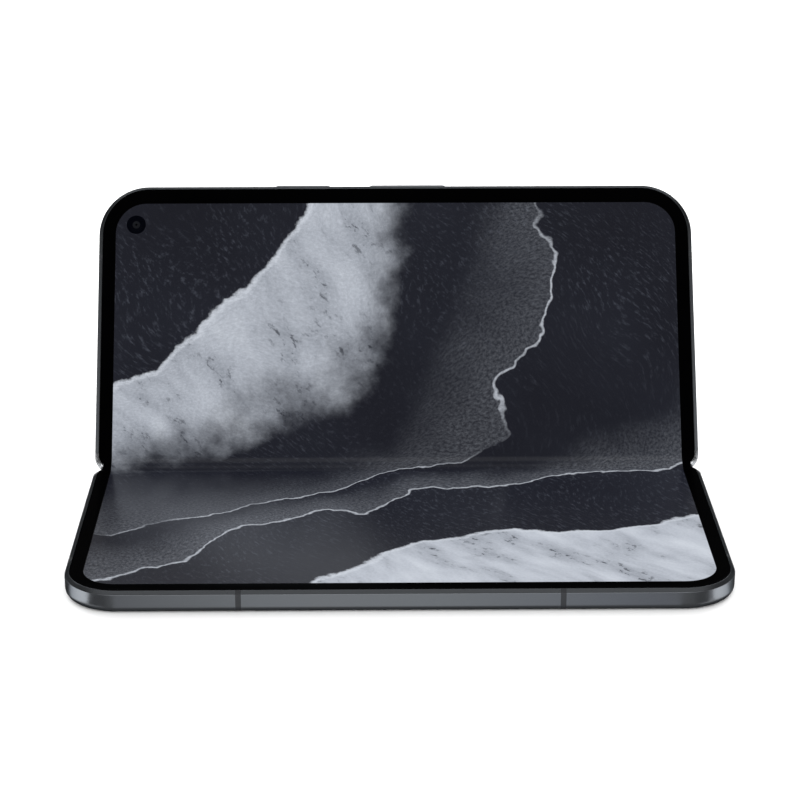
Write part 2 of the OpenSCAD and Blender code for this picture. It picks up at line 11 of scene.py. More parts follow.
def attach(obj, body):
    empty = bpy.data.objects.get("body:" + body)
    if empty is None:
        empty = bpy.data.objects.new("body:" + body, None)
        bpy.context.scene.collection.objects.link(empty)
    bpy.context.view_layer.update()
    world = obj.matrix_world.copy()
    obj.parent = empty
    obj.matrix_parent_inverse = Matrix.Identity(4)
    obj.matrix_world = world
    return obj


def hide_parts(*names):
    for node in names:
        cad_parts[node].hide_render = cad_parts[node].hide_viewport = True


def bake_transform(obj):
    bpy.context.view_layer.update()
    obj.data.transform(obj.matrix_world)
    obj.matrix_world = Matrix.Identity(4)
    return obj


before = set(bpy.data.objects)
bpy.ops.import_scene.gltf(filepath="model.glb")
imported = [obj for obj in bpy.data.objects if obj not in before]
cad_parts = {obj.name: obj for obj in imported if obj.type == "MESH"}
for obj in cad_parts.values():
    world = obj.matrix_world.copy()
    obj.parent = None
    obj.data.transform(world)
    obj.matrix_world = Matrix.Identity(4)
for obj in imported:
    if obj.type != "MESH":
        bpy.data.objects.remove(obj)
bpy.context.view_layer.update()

scene = bpy.context.scene
scene.view_settings.view_transform = "Standard"
scene.view_settings.look = "None"

# ------------------------------------------------------------------ camera
cam_data = bpy.data.cameras.new("camera")
cam_data.sensor_width = 36.0
cam_data.lens = 104.16
cam_data.shift_x = -0.0005
cam_data.shift_y = 0.0004
cam_data.clip_start = 0.01
cam_data.clip_end = 50
cam = bpy.data.objects.new("camera", cam_data)
scene.collection.objects.link(cam)
right = Vector((0.99992, -0.01246, 0.0))
up_v = Vector((0.004325, 0.34707, 0.93783))
back = Vector((-0.011686, -0.93776, 0.34710))
cam.matrix_world = Matrix.Translation((-0.006066, -0.514118, 0.227474)) @ Matrix(
    ((right.x, up_v.x, back.x), (right.y, up_v.y, back.y), (right.z, up_v.z, back.z))
).to_4x4()
scene.camera = cam

# ------------------------------------------------------------------ layout
MM = 0.001
W, L, T, R = 155.2, 76.0, 5.2, 13.0
HW = W / 2
A, ZX = 2.5, 2.8
PHI = math.radians(29.285)
YO = L / 2
UR = 5.0
ZD = 5.13      # display surface
KC = 4.6       # plan radius of the hinge-side corners
RIM_X, RIM_Y, RIM_R = 4.36, 4.68, 8.1      # inner edge of the rim
LIT_X, LIT_Y, LIT_R = HW - 4.42, L - 4.74, 8.05
PX, PL = -24.4, 14.3      # power key: centre and length
VX, VL = 3.15, 19.9       # volume key
KEY = 0.6                 # how far the keys stand proud


def rot(t):
    c, s = math.cos(t), math.sin(t)
    return np.array([[c, -s], [s, c]])


def to_row(pts, where):
    """leaf or spine coordinates in mm (x, u, z) to the row frame in metres"""
    p = np.asarray(pts, float).reshape(-1, 3).copy()
    yz = p[:, 1:3]
    a1 = np.array([YO - A, ZX])
    if where == "lo":
        out = np.stack([YO - yz[:, 0], yz[:, 1]], 1)
    elif where == "sp":
        out = (yz + [A, -ZX]) @ rot(PHI).T + a1
    elif where == "up":
        out = ((yz - [A, ZX]) @ rot(PHI).T + [2 * A, 0]) @ rot(PHI).T + a1
    else:
        out = yz
    return np.column_stack([p[:, 0], out]) * MM


def make(name, verts, faces, where, mats, sharp=32.0, face_mats=None, uv=None):
    me = bpy.data.meshes.new(name)
    me.from_pydata([tuple(v) for v in to_row(verts, where)], [], [list(f) for f in faces])
    if uv is not None:
        layer = me.uv_layers.new(name="screen")
        idx = np.zeros(len(me.loops), np.int32)
        me.loops.foreach_get("vertex_index", idx)
        layer.data.foreach_set("uv", np.asarray(uv, np.float32)[idx].ravel())
    bm = bmesh.new()
    bm.from_mesh(me)
    bmesh.ops.remove_doubles(bm, verts=bm.verts, dist=1e-7)
    bmesh.ops.dissolve_degenerate(bm, edges=bm.edges, dist=1e-7)
    bmesh.ops.recalc_face_normals(bm, faces=bm.faces)
    bm.to_mesh(me)
    bm.free()
    for m in mats if isinstance(mats, (list, tuple)) else [mats]:
        me.materials.append(m)
    if face_mats is not None and len(face_mats) == len(me.polygons):
        me.polygons.foreach_set("material_index", face_mats)
    me.polygons.foreach_set("use_smooth", [True] * len(me.polygons))
    me.set_sharp_from_angle(angle=math.radians(sharp))
    ob = bpy.data.objects.new(name, me)
    scene.collection.objects.link(ob)
    return ob


def bake(ob, sharp=32.0):
    """applies ob's modifiers to its mesh"""
    dg = bpy.context.evaluated_depsgraph_get()
    me = bpy.data.meshes.new_from_object(ob.evaluated_get(dg))
    ob.modifiers.clear()
    old = ob.data
    ob.data = me
    bpy.data.meshes.remove(old)
    me.polygons.foreach_set("use_smooth", [True] * len(me.polygons))
    me.set_sharp_from_angle(angle=math.radians(sharp))
    return ob


def cut(ob, cutters, sharp=32.0, keep=False):
    for c in cutters:
        m = ob.modifiers.new("cut", "BOOLEAN")
        m.operation = "DIFFERENCE"
        m.solver = "EXACT"
        m.object = c
    bake(ob, sharp)
    if not keep:
        for c in cutters:
            me = c.data
            bpy.data.objects.remove(c)
            bpy.data.meshes.remove(me)
    return ob


def tidy(ob, sharp=35.0):
    """closes the hairline gaps that booleans can leave"""
    bm = bmesh.new()
    bm.from_mesh(ob.data)
    bmesh.ops.remove_doubles(bm, verts=bm.verts, dist=6e-7)
    bmesh.ops.dissolve_degenerate(bm, edges=bm.edges, dist=6e-7)
    bmesh.ops.holes_fill(bm, edges=[e for e in bm.edges if e.is_boundary], sides=0)
    bm.to_mesh(ob.data)
    bm.free()
    ob.data.polygons.foreach_set("use_smooth", [True] * len(ob.data.polygons))
    ob.data.set_sharp_from_angle(angle=math.radians(sharp))
    return ob


def join(name, obs, sharp=32.0):
    bm = bmesh.new()
    mats = []
    for o in obs:
        start = len(bm.faces)
        bm.from_mesh(o.data)
        bm.faces.ensure_lookup_table()
        slots = []
        for m in o.data.materials:
            if m not in mats:
                mats.append(m)
            slots.append(mats.index(m))
        for f in bm.faces[start:]:
            f.material_index = slots[f.material_index] if slots else 0
    me = bpy.data.meshes.new(name)
    bm.to_mesh(me)
    bm.free()
    for m in mats:
        me.materials.append(m)
    me.polygons.foreach_set("use_smooth", [True] * len(me.polygons))
    me.set_sharp_from_angle(angle=math.radians(sharp))
    for o in obs:
        old = o.data
        bpy.data.objects.remove(o)
        bpy.data.meshes.remove(old)
    ob = bpy.data.objects.new(name, me)
    scene.collection.objects.link(ob)
    return ob


# ------------------------------------------------------------------ shapes
def fillet(points, radii, seg=5, hold=0.03):
    """closed outline with each corner rounded to its radius, and a holding point on each side"""
    out = []
    n = len(points)
    for i in range(n):
        p = np.array(points[i], float)
        r = radii[i] if isinstance(radii, (list, tuple)) else radii
        a = np.array(points[i - 1], float) - p
        b = np.array(points[(i + 1) % n], float) - p
        la, lb = np.linalg.norm(a), np.linalg.norm(b)
        if r <= 0 or la < 1e-9 or lb < 1e-9:
            out.append(p)
            continue
        a, b = a / la, b / lb
        ang = math.acos(max(-1, min(1, float(a @ b))))
        d = min(r / math.tan(ang / 2), 0.49 * la, 0.49 * lb)
        r = d * math.tan(ang / 2)
        c = p + (a + b) / np.linalg.norm(a + b) * (r / math.sin(ang / 2))
        s, e = p + a * d - c, p + b * d - c
        sweep = math.acos(max(-1, min(1, float(s @ e) / (r * r))))
        sign = 1 if s[0] * e[1] - s[1] * e[0] > 0 else -1
        if hold and d + hold < 0.49 * la:
            out.append(p + a * (d + hold))
        for k in range(seg + 1):
            out.append(c + rot(sign * sweep * k / seg) @ s)
        if hold and d + hold < 0.49 * lb:
            out.append(p + b * (d + hold))
    return [tuple(q) for q in out]


def outline(ix, iy, r, u0, n_side=10, n_arc=20, n_far=16):
    """leaf outline inset by ix at the ends and iy at the free edge, open at the hinge side"""
    x0, y1 = HW - ix, L - iy
    pts = [(-x0, u0 + (y1 - r - u0) * k / n_side) for k in range(n_side + 1)]
    pts += [(-x0 + r - r * math.cos(math.pi / 2 * k / n_arc), y1 - r + r * math.sin(math.pi / 2 * k / n_arc)) for k in range(1, n_arc + 1)]
    pts += [(-x0 + r + (2 * x0 - 2 * r) * k / n_far, y1) for k in range(1, n_far + 1)]
    pts += [(x0 - r + r * math.sin(math.pi / 2 * k / n_arc), y1 - r + r * math.cos(math.pi / 2 * k / n_arc)) for k in range(1, n_arc + 1)]
    pts += [(x0, y1 - r + (u0 - y1 + r) * k / n_side) for k in range(1, n_side + 1)]
    return np.array(pts)


def rounded(x0, x1, y0, y1, r, seg=12):
    """closed rounded rectangle, or one with four radii: x0y0, x1y0, x1y1, x0y1"""
    rs = r if isinstance(r, (list, tuple)) else [r] * 4
    cs = [(x0, y0, 1, 1, 180), (x1, y0, -1, 1, 270), (x1, y1, -1, -1, 0), (x0, y1, 1, -1, 90)]
    out = []
    for (x, y, sx, sy, a0), q in zip(cs, rs):
        for k in range(seg + 1):
            t = math.radians(a0 + 90 * k / seg)
            out.append((x + sx * q + q * math.cos(t), y + sy * q + q * math.sin(t)))
    return np.array(out)


def loft(name, rings, where, mats, cap=True, closed=True, sharp=32.0):
    """skin over rings of equal length, capped at both ends"""
    n = len(rings[0])
    verts = np.concatenate([np.asarray(r, float) for r in rings])
    faces = []
    for k in range(len(rings) - 1):
        for j in range(n if closed else n - 1):
            j2 = (j + 1) % n
            faces.append((k * n + j, k * n + j2, (k + 1) * n + j2, (k + 1) * n + j))
    if cap:
        faces.append(tuple(range(n - 1, -1, -1)))
        faces.append(tuple(range((len(rings) - 1) * n, len(rings) * n)))
    return make(name, verts, faces, where, mats, sharp)


def path_sweep(name, section, outlines, where, mats, sharp=32.0):
    """section is [(key, z)]; outlines[key] gives the outline of that inset; each point of the path gets one ring"""
    per = [outlines(k) for k, _ in section]
    count = len(per[0])
    rings = [[(per[j][i][0], per[j][i][1], section[j][1]) for j in range(len(section))] for i in range(count)]
    return loft(name, rings, where, mats, sharp=sharp)


def plate(name, shape, stations, where, mats, sharp=32.0):
    """stations is [(inset, z)]; shape(inset) gives a closed outline"""
    return loft(name, [[(x, y, z) for x, y in shape(i)] for i, z in stations], where, mats, sharp=sharp)


def edge_stations(z0, z1, r0, r1, seg=5, hold=0.03):
    """stations of a plate from z0 up to z1 with its edges rounded by r0 and r1"""
    out = []
    if r0 > 0:
        out += [(r0 + hold, z0)]
        out += [(r0 - r0 * math.sin(math.pi / 2 * k / seg), z0 + r0 - r0 * math.cos(math.pi / 2 * k / seg)) for k in range(seg + 1)]
        out += [(0, z0 + r0 + hold)] if z1 - z0 > r0 + r1 + 3 * hold else []
    else:
        out += [(0, z0)]
    if r1 > 0:
        out += [(0, z1 - r1 - hold)] if z1 - z0 > r0 + r1 + 3 * hold else []
        out += [(r1 - r1 * math.cos(math.pi / 2 * k / seg), z1 - r1 + r1 * math.sin(math.pi / 2 * k / seg)) for k in range(seg + 1)]
        out += [(r1 + hold, z1)]
    else:
        out += [(0, z1)]
    return out


def block(name, x0, x1, y0, y1, z0, z1, where, mats, r=0.2, e=0.1):
    return plate(name, lambda i: rounded(x0 + i, x1 - i, y0 + i, y1 - i, max(r - i, 0.01), 4), edge_stations(z0, z1, e, e, 3), where, mats)


def extrude_x(name, section, x0, x1, where, mats, end=0.0, sharp=32.0):
    """section in (u, z) run along x"""
    s = np.array(section)
    xs = [x0, x1]
    return loft(name, [[(x, p[0], p[1]) for p in s] for x in xs], where, mats, sharp=sharp)


def lathe(name, profile, centre, where, mats, axis=1, seg=56, sharp=32.0):
    """profile [(r, z)] turned about the leaf's z through centre (x, u); closed where r is 0"""
    cx, cu = centre
    rings = []
    for r, z in profile:
        rings.append([(cx + max(r, 1e-4) * math.cos(2 * math.pi * k / seg), cu + max(r, 1e-4) * math.sin(2 * math.pi * k / seg), z) for k in range(seg)])
    return loft(name, rings, where, mats, sharp=sharp)


def stadium(length, h, inset=0.0, seg=10):
    """stadium outline centred on the origin, in two coordinates"""
    r = h / 2 - inset
    c = (length - h) / 2
    out = [(c + r * math.cos(t), r * math.sin(t)) for t in np.linspace(-math.pi / 2, math.pi / 2, seg + 1)]
    out += [(-c + r * math.cos(t), r * math.sin(t)) for t in np.linspace(math.pi / 2, 3 * math.pi / 2, seg + 1)]
    return np.array(out)


def slot_y(name, x, z, length, h, stations, where, mats, sharp=32.0):
    """stadium standing in the free edge: stations [(inset, u)]"""
    return loft(name, [[(x + a, u, z + b) for a, b in stadium(length, h, i)] for i, u in stations], where, mats, sharp=sharp)


def slot_x(name, u, z, length, h, stations, where, mats, sharp=32.0):
    """stadium standing in the end face: stations [(inset, x)]"""
    return loft(name, [[(x, u + a, z + b) for a, b in stadium(length, h, i)] for i, x in stations], where, mats, sharp=sharp)


# ------------------------------------------------------------------ materials
class Graph:
    def __init__(self, name):
        self.m = bpy.data.materials.new(name)
        self.m.use_nodes = True
        self.nt = self.m.node_tree
        self.nt.nodes.clear()
        self.out = self.nt.nodes.new("ShaderNodeOutputMaterial")
        self.bsdf = self.nt.nodes.new("ShaderNodeBsdfPrincipled")
        self.nt.links.new(self.bsdf.outputs[0], self.out.inputs[0])

    def put(self, sock, v):
        if isinstance(v, bpy.types.NodeSocket):
            self.nt.links.new(v, sock)
        elif v is not None:
            sock.default_value = v

    def set(self, **kw):
        for k, v in kw.items():
            self.put(self.bsdf.inputs[k.replace("_", " ")], v)
        return self

    def math(self, op, a, b=None, c=None, clamp=False):
        n = self.nt.nodes.new("ShaderNodeMath")
        n.operation = op
        n.use_clamp = clamp
        for i, v in enumerate((a, b, c)):
            if v is not None:
                self.put(n.inputs[i], v)
        return n.outputs[0]

    def add(self, a, b): return self.math("ADD", a, b)
    def sub(self, a, b): return self.math("SUBTRACT", a, b)
    def mul(self, a, b): return self.math("MULTIPLY", a, b)
    def mad(self, a, b, c): return self.math("MULTIPLY_ADD", a, b, c)

    def remap(self, v, a, b, c=0.0, d=1.0, smooth=True):
        n = self.nt.nodes.new("ShaderNodeMapRange")
        n.interpolation_type = "SMOOTHSTEP" if smooth else "LINEAR"
        self.put(n.inputs["Value"], v)
        for k, x in zip(("From Min", "From Max", "To Min", "To Max"), (a, b, c, d)):
            self.put(n.inputs[k], x)
        return n.outputs[0]

    def coords(self, kind="Object"):
        return self.nt.nodes.new("ShaderNodeTexCoord").outputs[kind]

    def uv(self, name="screen"):
        n = self.nt.nodes.new("ShaderNodeUVMap")
        n.uv_map = name
        return n.outputs[0]

    def split(self, v):
        n = self.nt.nodes.new("ShaderNodeSeparateXYZ")
        self.put(n.inputs[0], v)
        return n.outputs

    def join(self, x, y, z=0.0):
        n = self.nt.nodes.new("ShaderNodeCombineXYZ")
        for s, v in zip(n.inputs, (x, y, z)):
            self.put(s, v)
        return n.outputs[0]

    def scale(self, v, s):
        n = self.nt.nodes.new("ShaderNodeVectorMath")
        n.operation = "MULTIPLY"
        self.put(n.inputs[0], v)
        n.inputs[1].default_value = s if isinstance(s, (tuple, list)) else (s, s, s)
        return n.outputs[0]

    def vadd(self, a, b):
        n = self.nt.nodes.new("ShaderNodeVectorMath")
        n.operation = "ADD"
        self.put(n.inputs[0], a)
        self.put(n.inputs[1], b)
        return n.outputs[0]

    def noise(self, v, scale=5.0, detail=3.0, rough=0.5, dist=0.0, out=0):
        n = self.nt.nodes.new("ShaderNodeTexNoise")
        self.put(n.inputs["Vector"], v)
        n.inputs["Scale"].default_value = scale
        n.inputs["Detail"].default_value = detail
        n.inputs["Roughness"].default_value = rough
        n.inputs["Distortion"].default_value = dist
        return n.outputs[out]

    def voronoi(self, v, scale, feature="F1"):
        n = self.nt.nodes.new("ShaderNodeTexVoronoi")
        n.feature = feature
        self.put(n.inputs["Vector"], v)
        n.inputs["Scale"].default_value = scale
        return n.outputs["Distance"]

    def ramp(self, v, stops):
        n = self.nt.nodes.new("ShaderNodeValToRGB")
        self.put(n.inputs[0], v)
        e = n.color_ramp.elements
        while len(e) < len(stops):
            e.new(0.5)
        for s, (p, c) in zip(e, stops):
            s.position = p
            s.color = tuple(c) + (1.0,) if len(c) == 3 else c
        return n.outputs[0]

    def mix(self, f, a, b):
        n = self.nt.nodes.new("ShaderNodeMix")
        n.data_type = "RGBA"
        self.put(n.inputs[0], f)
        for s, v in ((n.inputs[6], a), (n.inputs[7], b)):
            self.put(s, tuple(v) + (1.0,) if isinstance(v, tuple) and len(v) == 3 else v)
        return n.outputs[2]

    def bump(self, h, strength=0.2, dist=0.00002):
        n = self.nt.nodes.new("ShaderNodeBump")
        n.inputs["Strength"].default_value = strength
        n.inputs["Distance"].default_value = dist
        self.put(n.inputs["Height"], h)
        self.put(self.bsdf.inputs["Normal"], n.outputs[0])
        return self


def metal(name, base, rough, grain=6000.0, vary=0.05, bump=0.12, stretch=(1, 1, 1), edge=1.0, metallic=1.0):
    """anodised or machined metal: fine grain, slight tone drift, roughness that follows it"""
    g = Graph(name)
    o = g.coords()
    fine = g.noise(g.scale(o, stretch), grain, 3.0, 0.6)
    broad = g.noise(o, 45.0, 2.0, 0.5)
    tone = g.remap(broad, 0.3, 0.7, 1 - vary, 1 + vary, False)
    dark = tuple(c * (1 - 2.2 * vary) for c in base)
    lite = tuple(min(1, c * (1 + 2.2 * vary)) for c in base)
    col = g.mix(g.remap(g.mul(fine, tone), 0.25, 0.75, 0.0, 1.0, False), dark, lite)
    g.set(Base_Color=col, Metallic=metallic, Roughness=g.remap(fine, 0.2, 0.8, rough - 0.05, rough + 0.05, False))
    g.set(Specular_Tint=(edge, edge, edge, 1.0))
    g.bump(fine, bump, 0.00002)
    return g.m


def plastic(name, base, rough, grain=5000.0, spec=0.4, vary=0.12, bump=0.15, coat=0.0, scale=60.0):
    g = Graph(name)
    o = g.coords()
    fine = g.noise(o, grain, 2.0, 0.5)
    broad = g.noise(o, scale, 3.0, 0.55)
    col = g.mix(g.remap(broad, 0.3, 0.7, 0, 1, False), tuple(c * (1 - vary) for c in base), tuple(c * (1 + vary) for c in base))
    g.set(Base_Color=col, Roughness=g.remap(fine, 0.2, 0.8, rough - 0.05, rough + 0.06, False), Specular_IOR_Level=spec)
    if coat:
        g.set(Coat_Weight=coat, Coat_Roughness=0.05)
    g.bump(fine, bump, 0.00001)
    return g.m


M = {}
M["frame"] = metal("frame_aluminium", (0.133, 0.141, 0.151), 0.3, 7000.0, 0.03, 0.10, edge=0.25)
M["button"] = metal("button_aluminium", (0.30, 0.306, 0.318), 0.36, 7000.0, 0.03, 0.10, metallic=0.62)
M["knuckle"] = metal("knuckle_metal", (0.44, 0.45, 0.465), 0.25, 8000.0, 0.02, 0.05, edge=0.5)
M["polish"] = metal("polished_metal", (0.50, 0.51, 0.535), 0.2, 9000.0, 0.02, 0.04)
M["spine"] = metal("spine_metal", (0.16, 0.165, 0.18), 0.3, 7000.0, 0.03, 0.08, (0.05, 1, 1))
M["island"] = metal("island_metal", (0.1, 0.105, 0.12), 0.42, 5200.0, 0.04, 0.2)
M["steel"] = metal("stainless_steel", (0.5, 0.5, 0.51), 0.3, 5000.0, 0.04, 0.15, (0.04, 1, 1))
M["hard"] = metal("hardened_steel", (0.38, 0.38, 0.39), 0.25, 6000.0, 0.04, 0.1)
M["screw"] = metal("black_screw", (0.06, 0.06, 0.065), 0.4, 5000.0, 0.05, 0.15)
M["brass"] = metal("gear_brass", (0.6, 0.42, 0.16), 0.32, 6000.0, 0.05, 0.1)
M["nickel"] = metal("nickel_plate", (0.52, 0.52, 0.5), 0.28, 4000.0, 0.03, 0.12)
M["copper"] = metal("copper_coil", (0.55, 0.24, 0.11), 0.35, 4000.0, 0.06, 0.15)
M["antenna"] = plastic("antenna_plastic", (0.0195, 0.021, 0.025), 0.5, 6000.0, 0.35, 0.08)
M["bezel"] = plastic("bezel_plastic", (0.0004, 0.0004, 0.0005), 0.22, 6500.0, 0.004, 0.2, 0.06)
M["black"] = plastic("black_plastic", (0.012, 0.012, 0.013), 0.5, 4500.0, 0.35, 0.15, 0.2)
M["wrap"] = plastic("battery_wrap", (0.03, 0.03, 0.033), 0.45, 2500.0, 0.4, 0.15, 0.3)
M["pcb"] = plastic("circuit_board", (0.012, 0.06, 0.03), 0.4, 1500.0, 0.5, 0.3, 0.3, 0.2, 900.0)
M["flash"] = plastic("flash_diffuser", (0.72, 0.69, 0.55), 0.25, 2200.0, 0.5, 0.05, 0.6)
M["lens_black"] = plastic("lens_black", (0.004, 0.004, 0.0045), 0.3, 5000.0, 0.4, 0.1, 0.05)


def glass_back():
    """satin back glass: fine frost over a slate tone with a faint metallic drift"""
    g = Graph("back_glass")
    o = g.coords()
    fine = g.noise(o, 9000.0, 2.0, 0.5)
    broad = g.noise(o, 22.0, 2.0, 0.5)
    col = g.mix(g.remap(broad, 0.25, 0.75, 0, 1), (0.040, 0.043, 0.051), (0.050, 0.053, 0.062))
    g.set(Base_Color=col, Metallic=0.35, Roughness=g.remap(fine, 0.2, 0.8, 0.33, 0.42, False), Specular_IOR_Level=0.45, Coat_Weight=0.25, Coat_Roughness=0.28)
    g.bump(fine, 0.08, 0.00001)
    return g.m


M["back_glass"] = glass_back()


def glass_cover():
    """cover glass over an unlit display: near black, with a slightly less dark active area"""
    g = Graph("cover_glass")
    o = g.coords()
    x, y, z = g.split(o)
    ax = g.sub(g.math("ABSOLUTE", x), 0.0715)
    ay = g.sub(g.math("ABSOLUTE", g.add(y, 0.0)), 0.0322)
    d = g.math("MAXIMUM", ax, ay)
    area = g.remap(d, -0.00012, 0.00012, 1.0, 0.0)
    drift = g.noise(o, 60.0, 2.0, 0.5)
    col = g.mix(area, (0.0018, 0.0018, 0.002), (0.0055, 0.0058, 0.0075))
    g.set(Base_Color=col, Roughness=g.remap(drift, 0.3, 0.7, 0.04, 0.075, False), Specular_IOR_Level=0.45)
    return g.m


M["cover_glass"] = glass_cover()


def unlit(name, base, rough, spec=0.5):
    g = Graph(name)
    o = g.coords()
    n = g.noise(o, 400.0, 3.0, 0.5)
    g.set(Base_Color=g.mix(n, tuple(c * 0.9 for c in base), tuple(c * 1.1 for c in base)), Roughness=g.remap(n, 0.2, 0.8, rough - 0.03, rough + 0.03, False), Specular_IOR_Level=spec)
    return g.m


def lens_glass():
    g = Graph("lens_glass")
    o = g.coords()
    n = g.noise(o, 300.0, 2.0, 0.5)
    g.set(Base_Color=g.mix(n, (0.55, 0.6, 0.75), (0.7, 0.72, 0.8)), Roughness=g.remap(n, 0.2, 0.8, 0.0, 0.02, False), IOR=1.45, Transmission_Weight=1.0)
    return g.m


def lens_coat(name, painted_sheen_tint, centre):
    """curved front element: near black, with a painted reflection: a coloured ring about its own centre that stands in
    for the coating's tinted sheen
    """
    g = Graph(name)
    o = g.coords()
    c = Vector(to_row([[centre[0], centre[1], -1.2]], "up")[0])
    x, y, z = g.split(g.vadd(o, (-c.x, -c.y, -c.z)))
    r = g.math("SQRT", g.add(g.mul(x, x), g.add(g.mul(y, y), g.mul(z, z))))
    n = g.noise(o, 900.0, 2.0, 0.5)
    # painted reflection: this ring tints the base colour where the coating's coloured sheen would show
    ring = g.mul(g.remap(r, 0.0003, 0.0012), g.remap(r, 0.0021, 0.0014))
    col = g.mix(g.mul(ring, g.mad(n, 0.4, 0.7)), (0.004, 0.004, 0.007), painted_sheen_tint)
    g.set(Base_Color=col, Roughness=g.remap(n, 0.2, 0.8, 0.03, 0.07, False), Specular_IOR_Level=0.6, Coat_Weight=0.6, Coat_Roughness=0.02)
    return g.m


M["lens_glass"] = lens_glass()
M["lens_in"] = unlit("lens_coat_inner", (0.0068, 0.0074, 0.0092), 0.25, 0.04)
M["lens_rim"] = unlit("lens_rim_glass", (0.0006, 0.0009, 0.0022), 0.2, 0.02)


def screen():
    """lit panel: dark slate ground, a pale drifting arc, a pale bank low on the right, thin bright seams, black margin"""
    g = Graph("inner_display")
    uvx, uvy, _ = g.split(g.uv())
    # screen coordinates in mm: x across, s from the near edge to the far edge
    x = g.mul(uvx, 100.0)
    s = g.mul(uvy, 100.0)
    p = g.join(x, s)
    wx = g.noise(g.scale(p, 0.0105), 1.0, 2.0, 0.45)
    wy = g.noise(g.vadd(g.scale(p, 0.0115), (7.3, 2.1, 0.0)), 1.0, 2.0, 0.45)
    px = g.mad(g.sub(wx, 0.5), 62.0, x)
    ps = g.mad(g.sub(wy, 0.5), 62.0, s)
    fray = g.sub(g.noise(g.scale(p, 0.075), 1.0, 7.0, 0.6), 0.5)
    gritty = g.noise(g.scale(p, 1.5), 1.0, 4.0, 0.72)
    # arc: rings about a point beyond the far left corner
    dx, ds = g.add(px, 92.0), g.add(ps, -94.0)
    rad = g.math("SQRT", g.add(g.mul(dx, dx), g.mul(ds, ds)))
    ra = g.mad(fray, 9.0, rad)
    arc = g.mul(g.remap(ra, 66.0, 67.2), g.remap(g.mad(fray, 26.0, rad), 101.0, 82.0))
    rim_a = g.remap(g.math("ABSOLUTE", g.add(ra, -67.0)), 1.1, 0.2)
    # bank: low on the right
    fb = g.mad(fray, 10.0, g.add(g.mul(px, 0.5), g.mul(ps, -1.0)))
    bank = g.remap(fb, 64.0, 65.4)
    rim_b = g.remap(g.math("ABSOLUTE", g.add(fb, -65.2)), 1.2, 0.2)
    # tones inside the pale parts: broad shading, soft folds and dark flecks
    fold_n = g.noise(g.scale(g.join(g.add(px, g.mul(ps, 0.6)), g.mul(g.sub(ps, px), 0.35)), 0.085), 1.0, 5.0, 0.55)
    fleck = g.remap(g.noise(g.scale(g.join(g.add(x, s), g.mul(g.sub(s, x), 0.5)), 0.42), 1.0, 5.0, 0.68), 0.545, 0.63)
    tone_p = g.ramp(g.add(g.mul(fold_n, 0.8), g.mul(gritty, 0.2)),
                    [(0.30, (0.199, 0.217, 0.252)), (0.42, (0.369, 0.397, 0.450)), (0.54, (0.489, 0.523, 0.586)), (0.70, (0.62, 0.66, 0.725))])
    tone_p = g.mix(g.mul(fleck, g.remap(fold_n, 0.52, 0.36, 0.0, 0.85)), tone_p, (0.045, 0.05, 0.062))
    # dark ground: slow drift and fine slanting grain with sparse light specks
    slow = g.noise(g.scale(p, 0.02), 1.0, 3.0, 0.5)
    grain = g.noise(g.scale(g.join(g.add(px, g.mul(ps, 0.7)), g.mul(g.sub(ps, px), 0.3)), 0.95), 1.0, 4.0, 0.7)
    tilt = g.remap(g.noise(g.scale(p, 0.016), 1.0, 2.0, 0.5), 0.40, 0.62)
    dark = g.mix(g.remap(slow, 0.3, 0.7, 0, 1, False), (0.0054, 0.0059, 0.0106), (0.0110, 0.0124, 0.0197))
    dark = g.mix(g.mul(g.remap(grain, 0.5, 0.74), g.mad(tilt, 0.40, 0.10)), dark, (0.086, 0.095, 0.122))
    # seams: thin bright lines that follow the same two families of curves, with a mottled glow on one side
    wander = g.sub(g.noise(g.scale(p, 0.034), 1.0, 4.0, 0.5), 0.5)
    r2 = g.mad(wander, 44.0, g.mad(fray, 5.0, rad))
    f2 = g.mad(wander, 30.0, g.mad(fray, 5.0, g.add(g.mul(px, 0.5), g.mul(ps, -1.0))))
    seam_a = g.mul(g.remap(g.math("ABSOLUTE", g.add(r2, -139.0)), 0.8, 0.12), g.remap(g.noise(g.scale(p, 0.02), 1.0, 2.0, 0.5), 0.36, 0.50))
    seam_b = g.remap(g.math("ABSOLUTE", g.add(f2, -33.0)), 0.7, 0.1)
    glow_a = g.mul(g.remap(r2, 112.0, 138.0), g.remap(r2, 139.6, 139.0))
    glow_b = g.mul(g.remap(f2, 14.0, 32.5), g.remap(f2, 33.5, 33.0))
    mott = g.remap(g.noise(g.scale(g.join(px, g.mul(ps, 1.3)), 1.15), 1.0, 6.0, 0.75), 0.36, 0.70)
    glow = g.mul(g.math("MAXIMUM", g.mul(glow_a, 0.6), g.mul(glow_b, 0.8)), g.mad(mott, 0.36, 0.06))
    body = g.mix(glow, dark, (0.336, 0.360, 0.405))
    body = g.mix(g.mul(g.math("MAXIMUM", seam_a, seam_b), g.mad(mott, 0.4, 0.5)), body, (0.556, 0.590, 0.655))
    col = g.mix(g.math("MAXIMUM", g.mul(arc, g.mad(mott, 0.22, 0.78)), bank), body, tone_p)
    col = g.mix(g.mul(g.math("MAXIMUM", rim_a, rim_b), g.mad(mott, 0.5, 0.35)), col, (0.616, 0.654, 0.718))
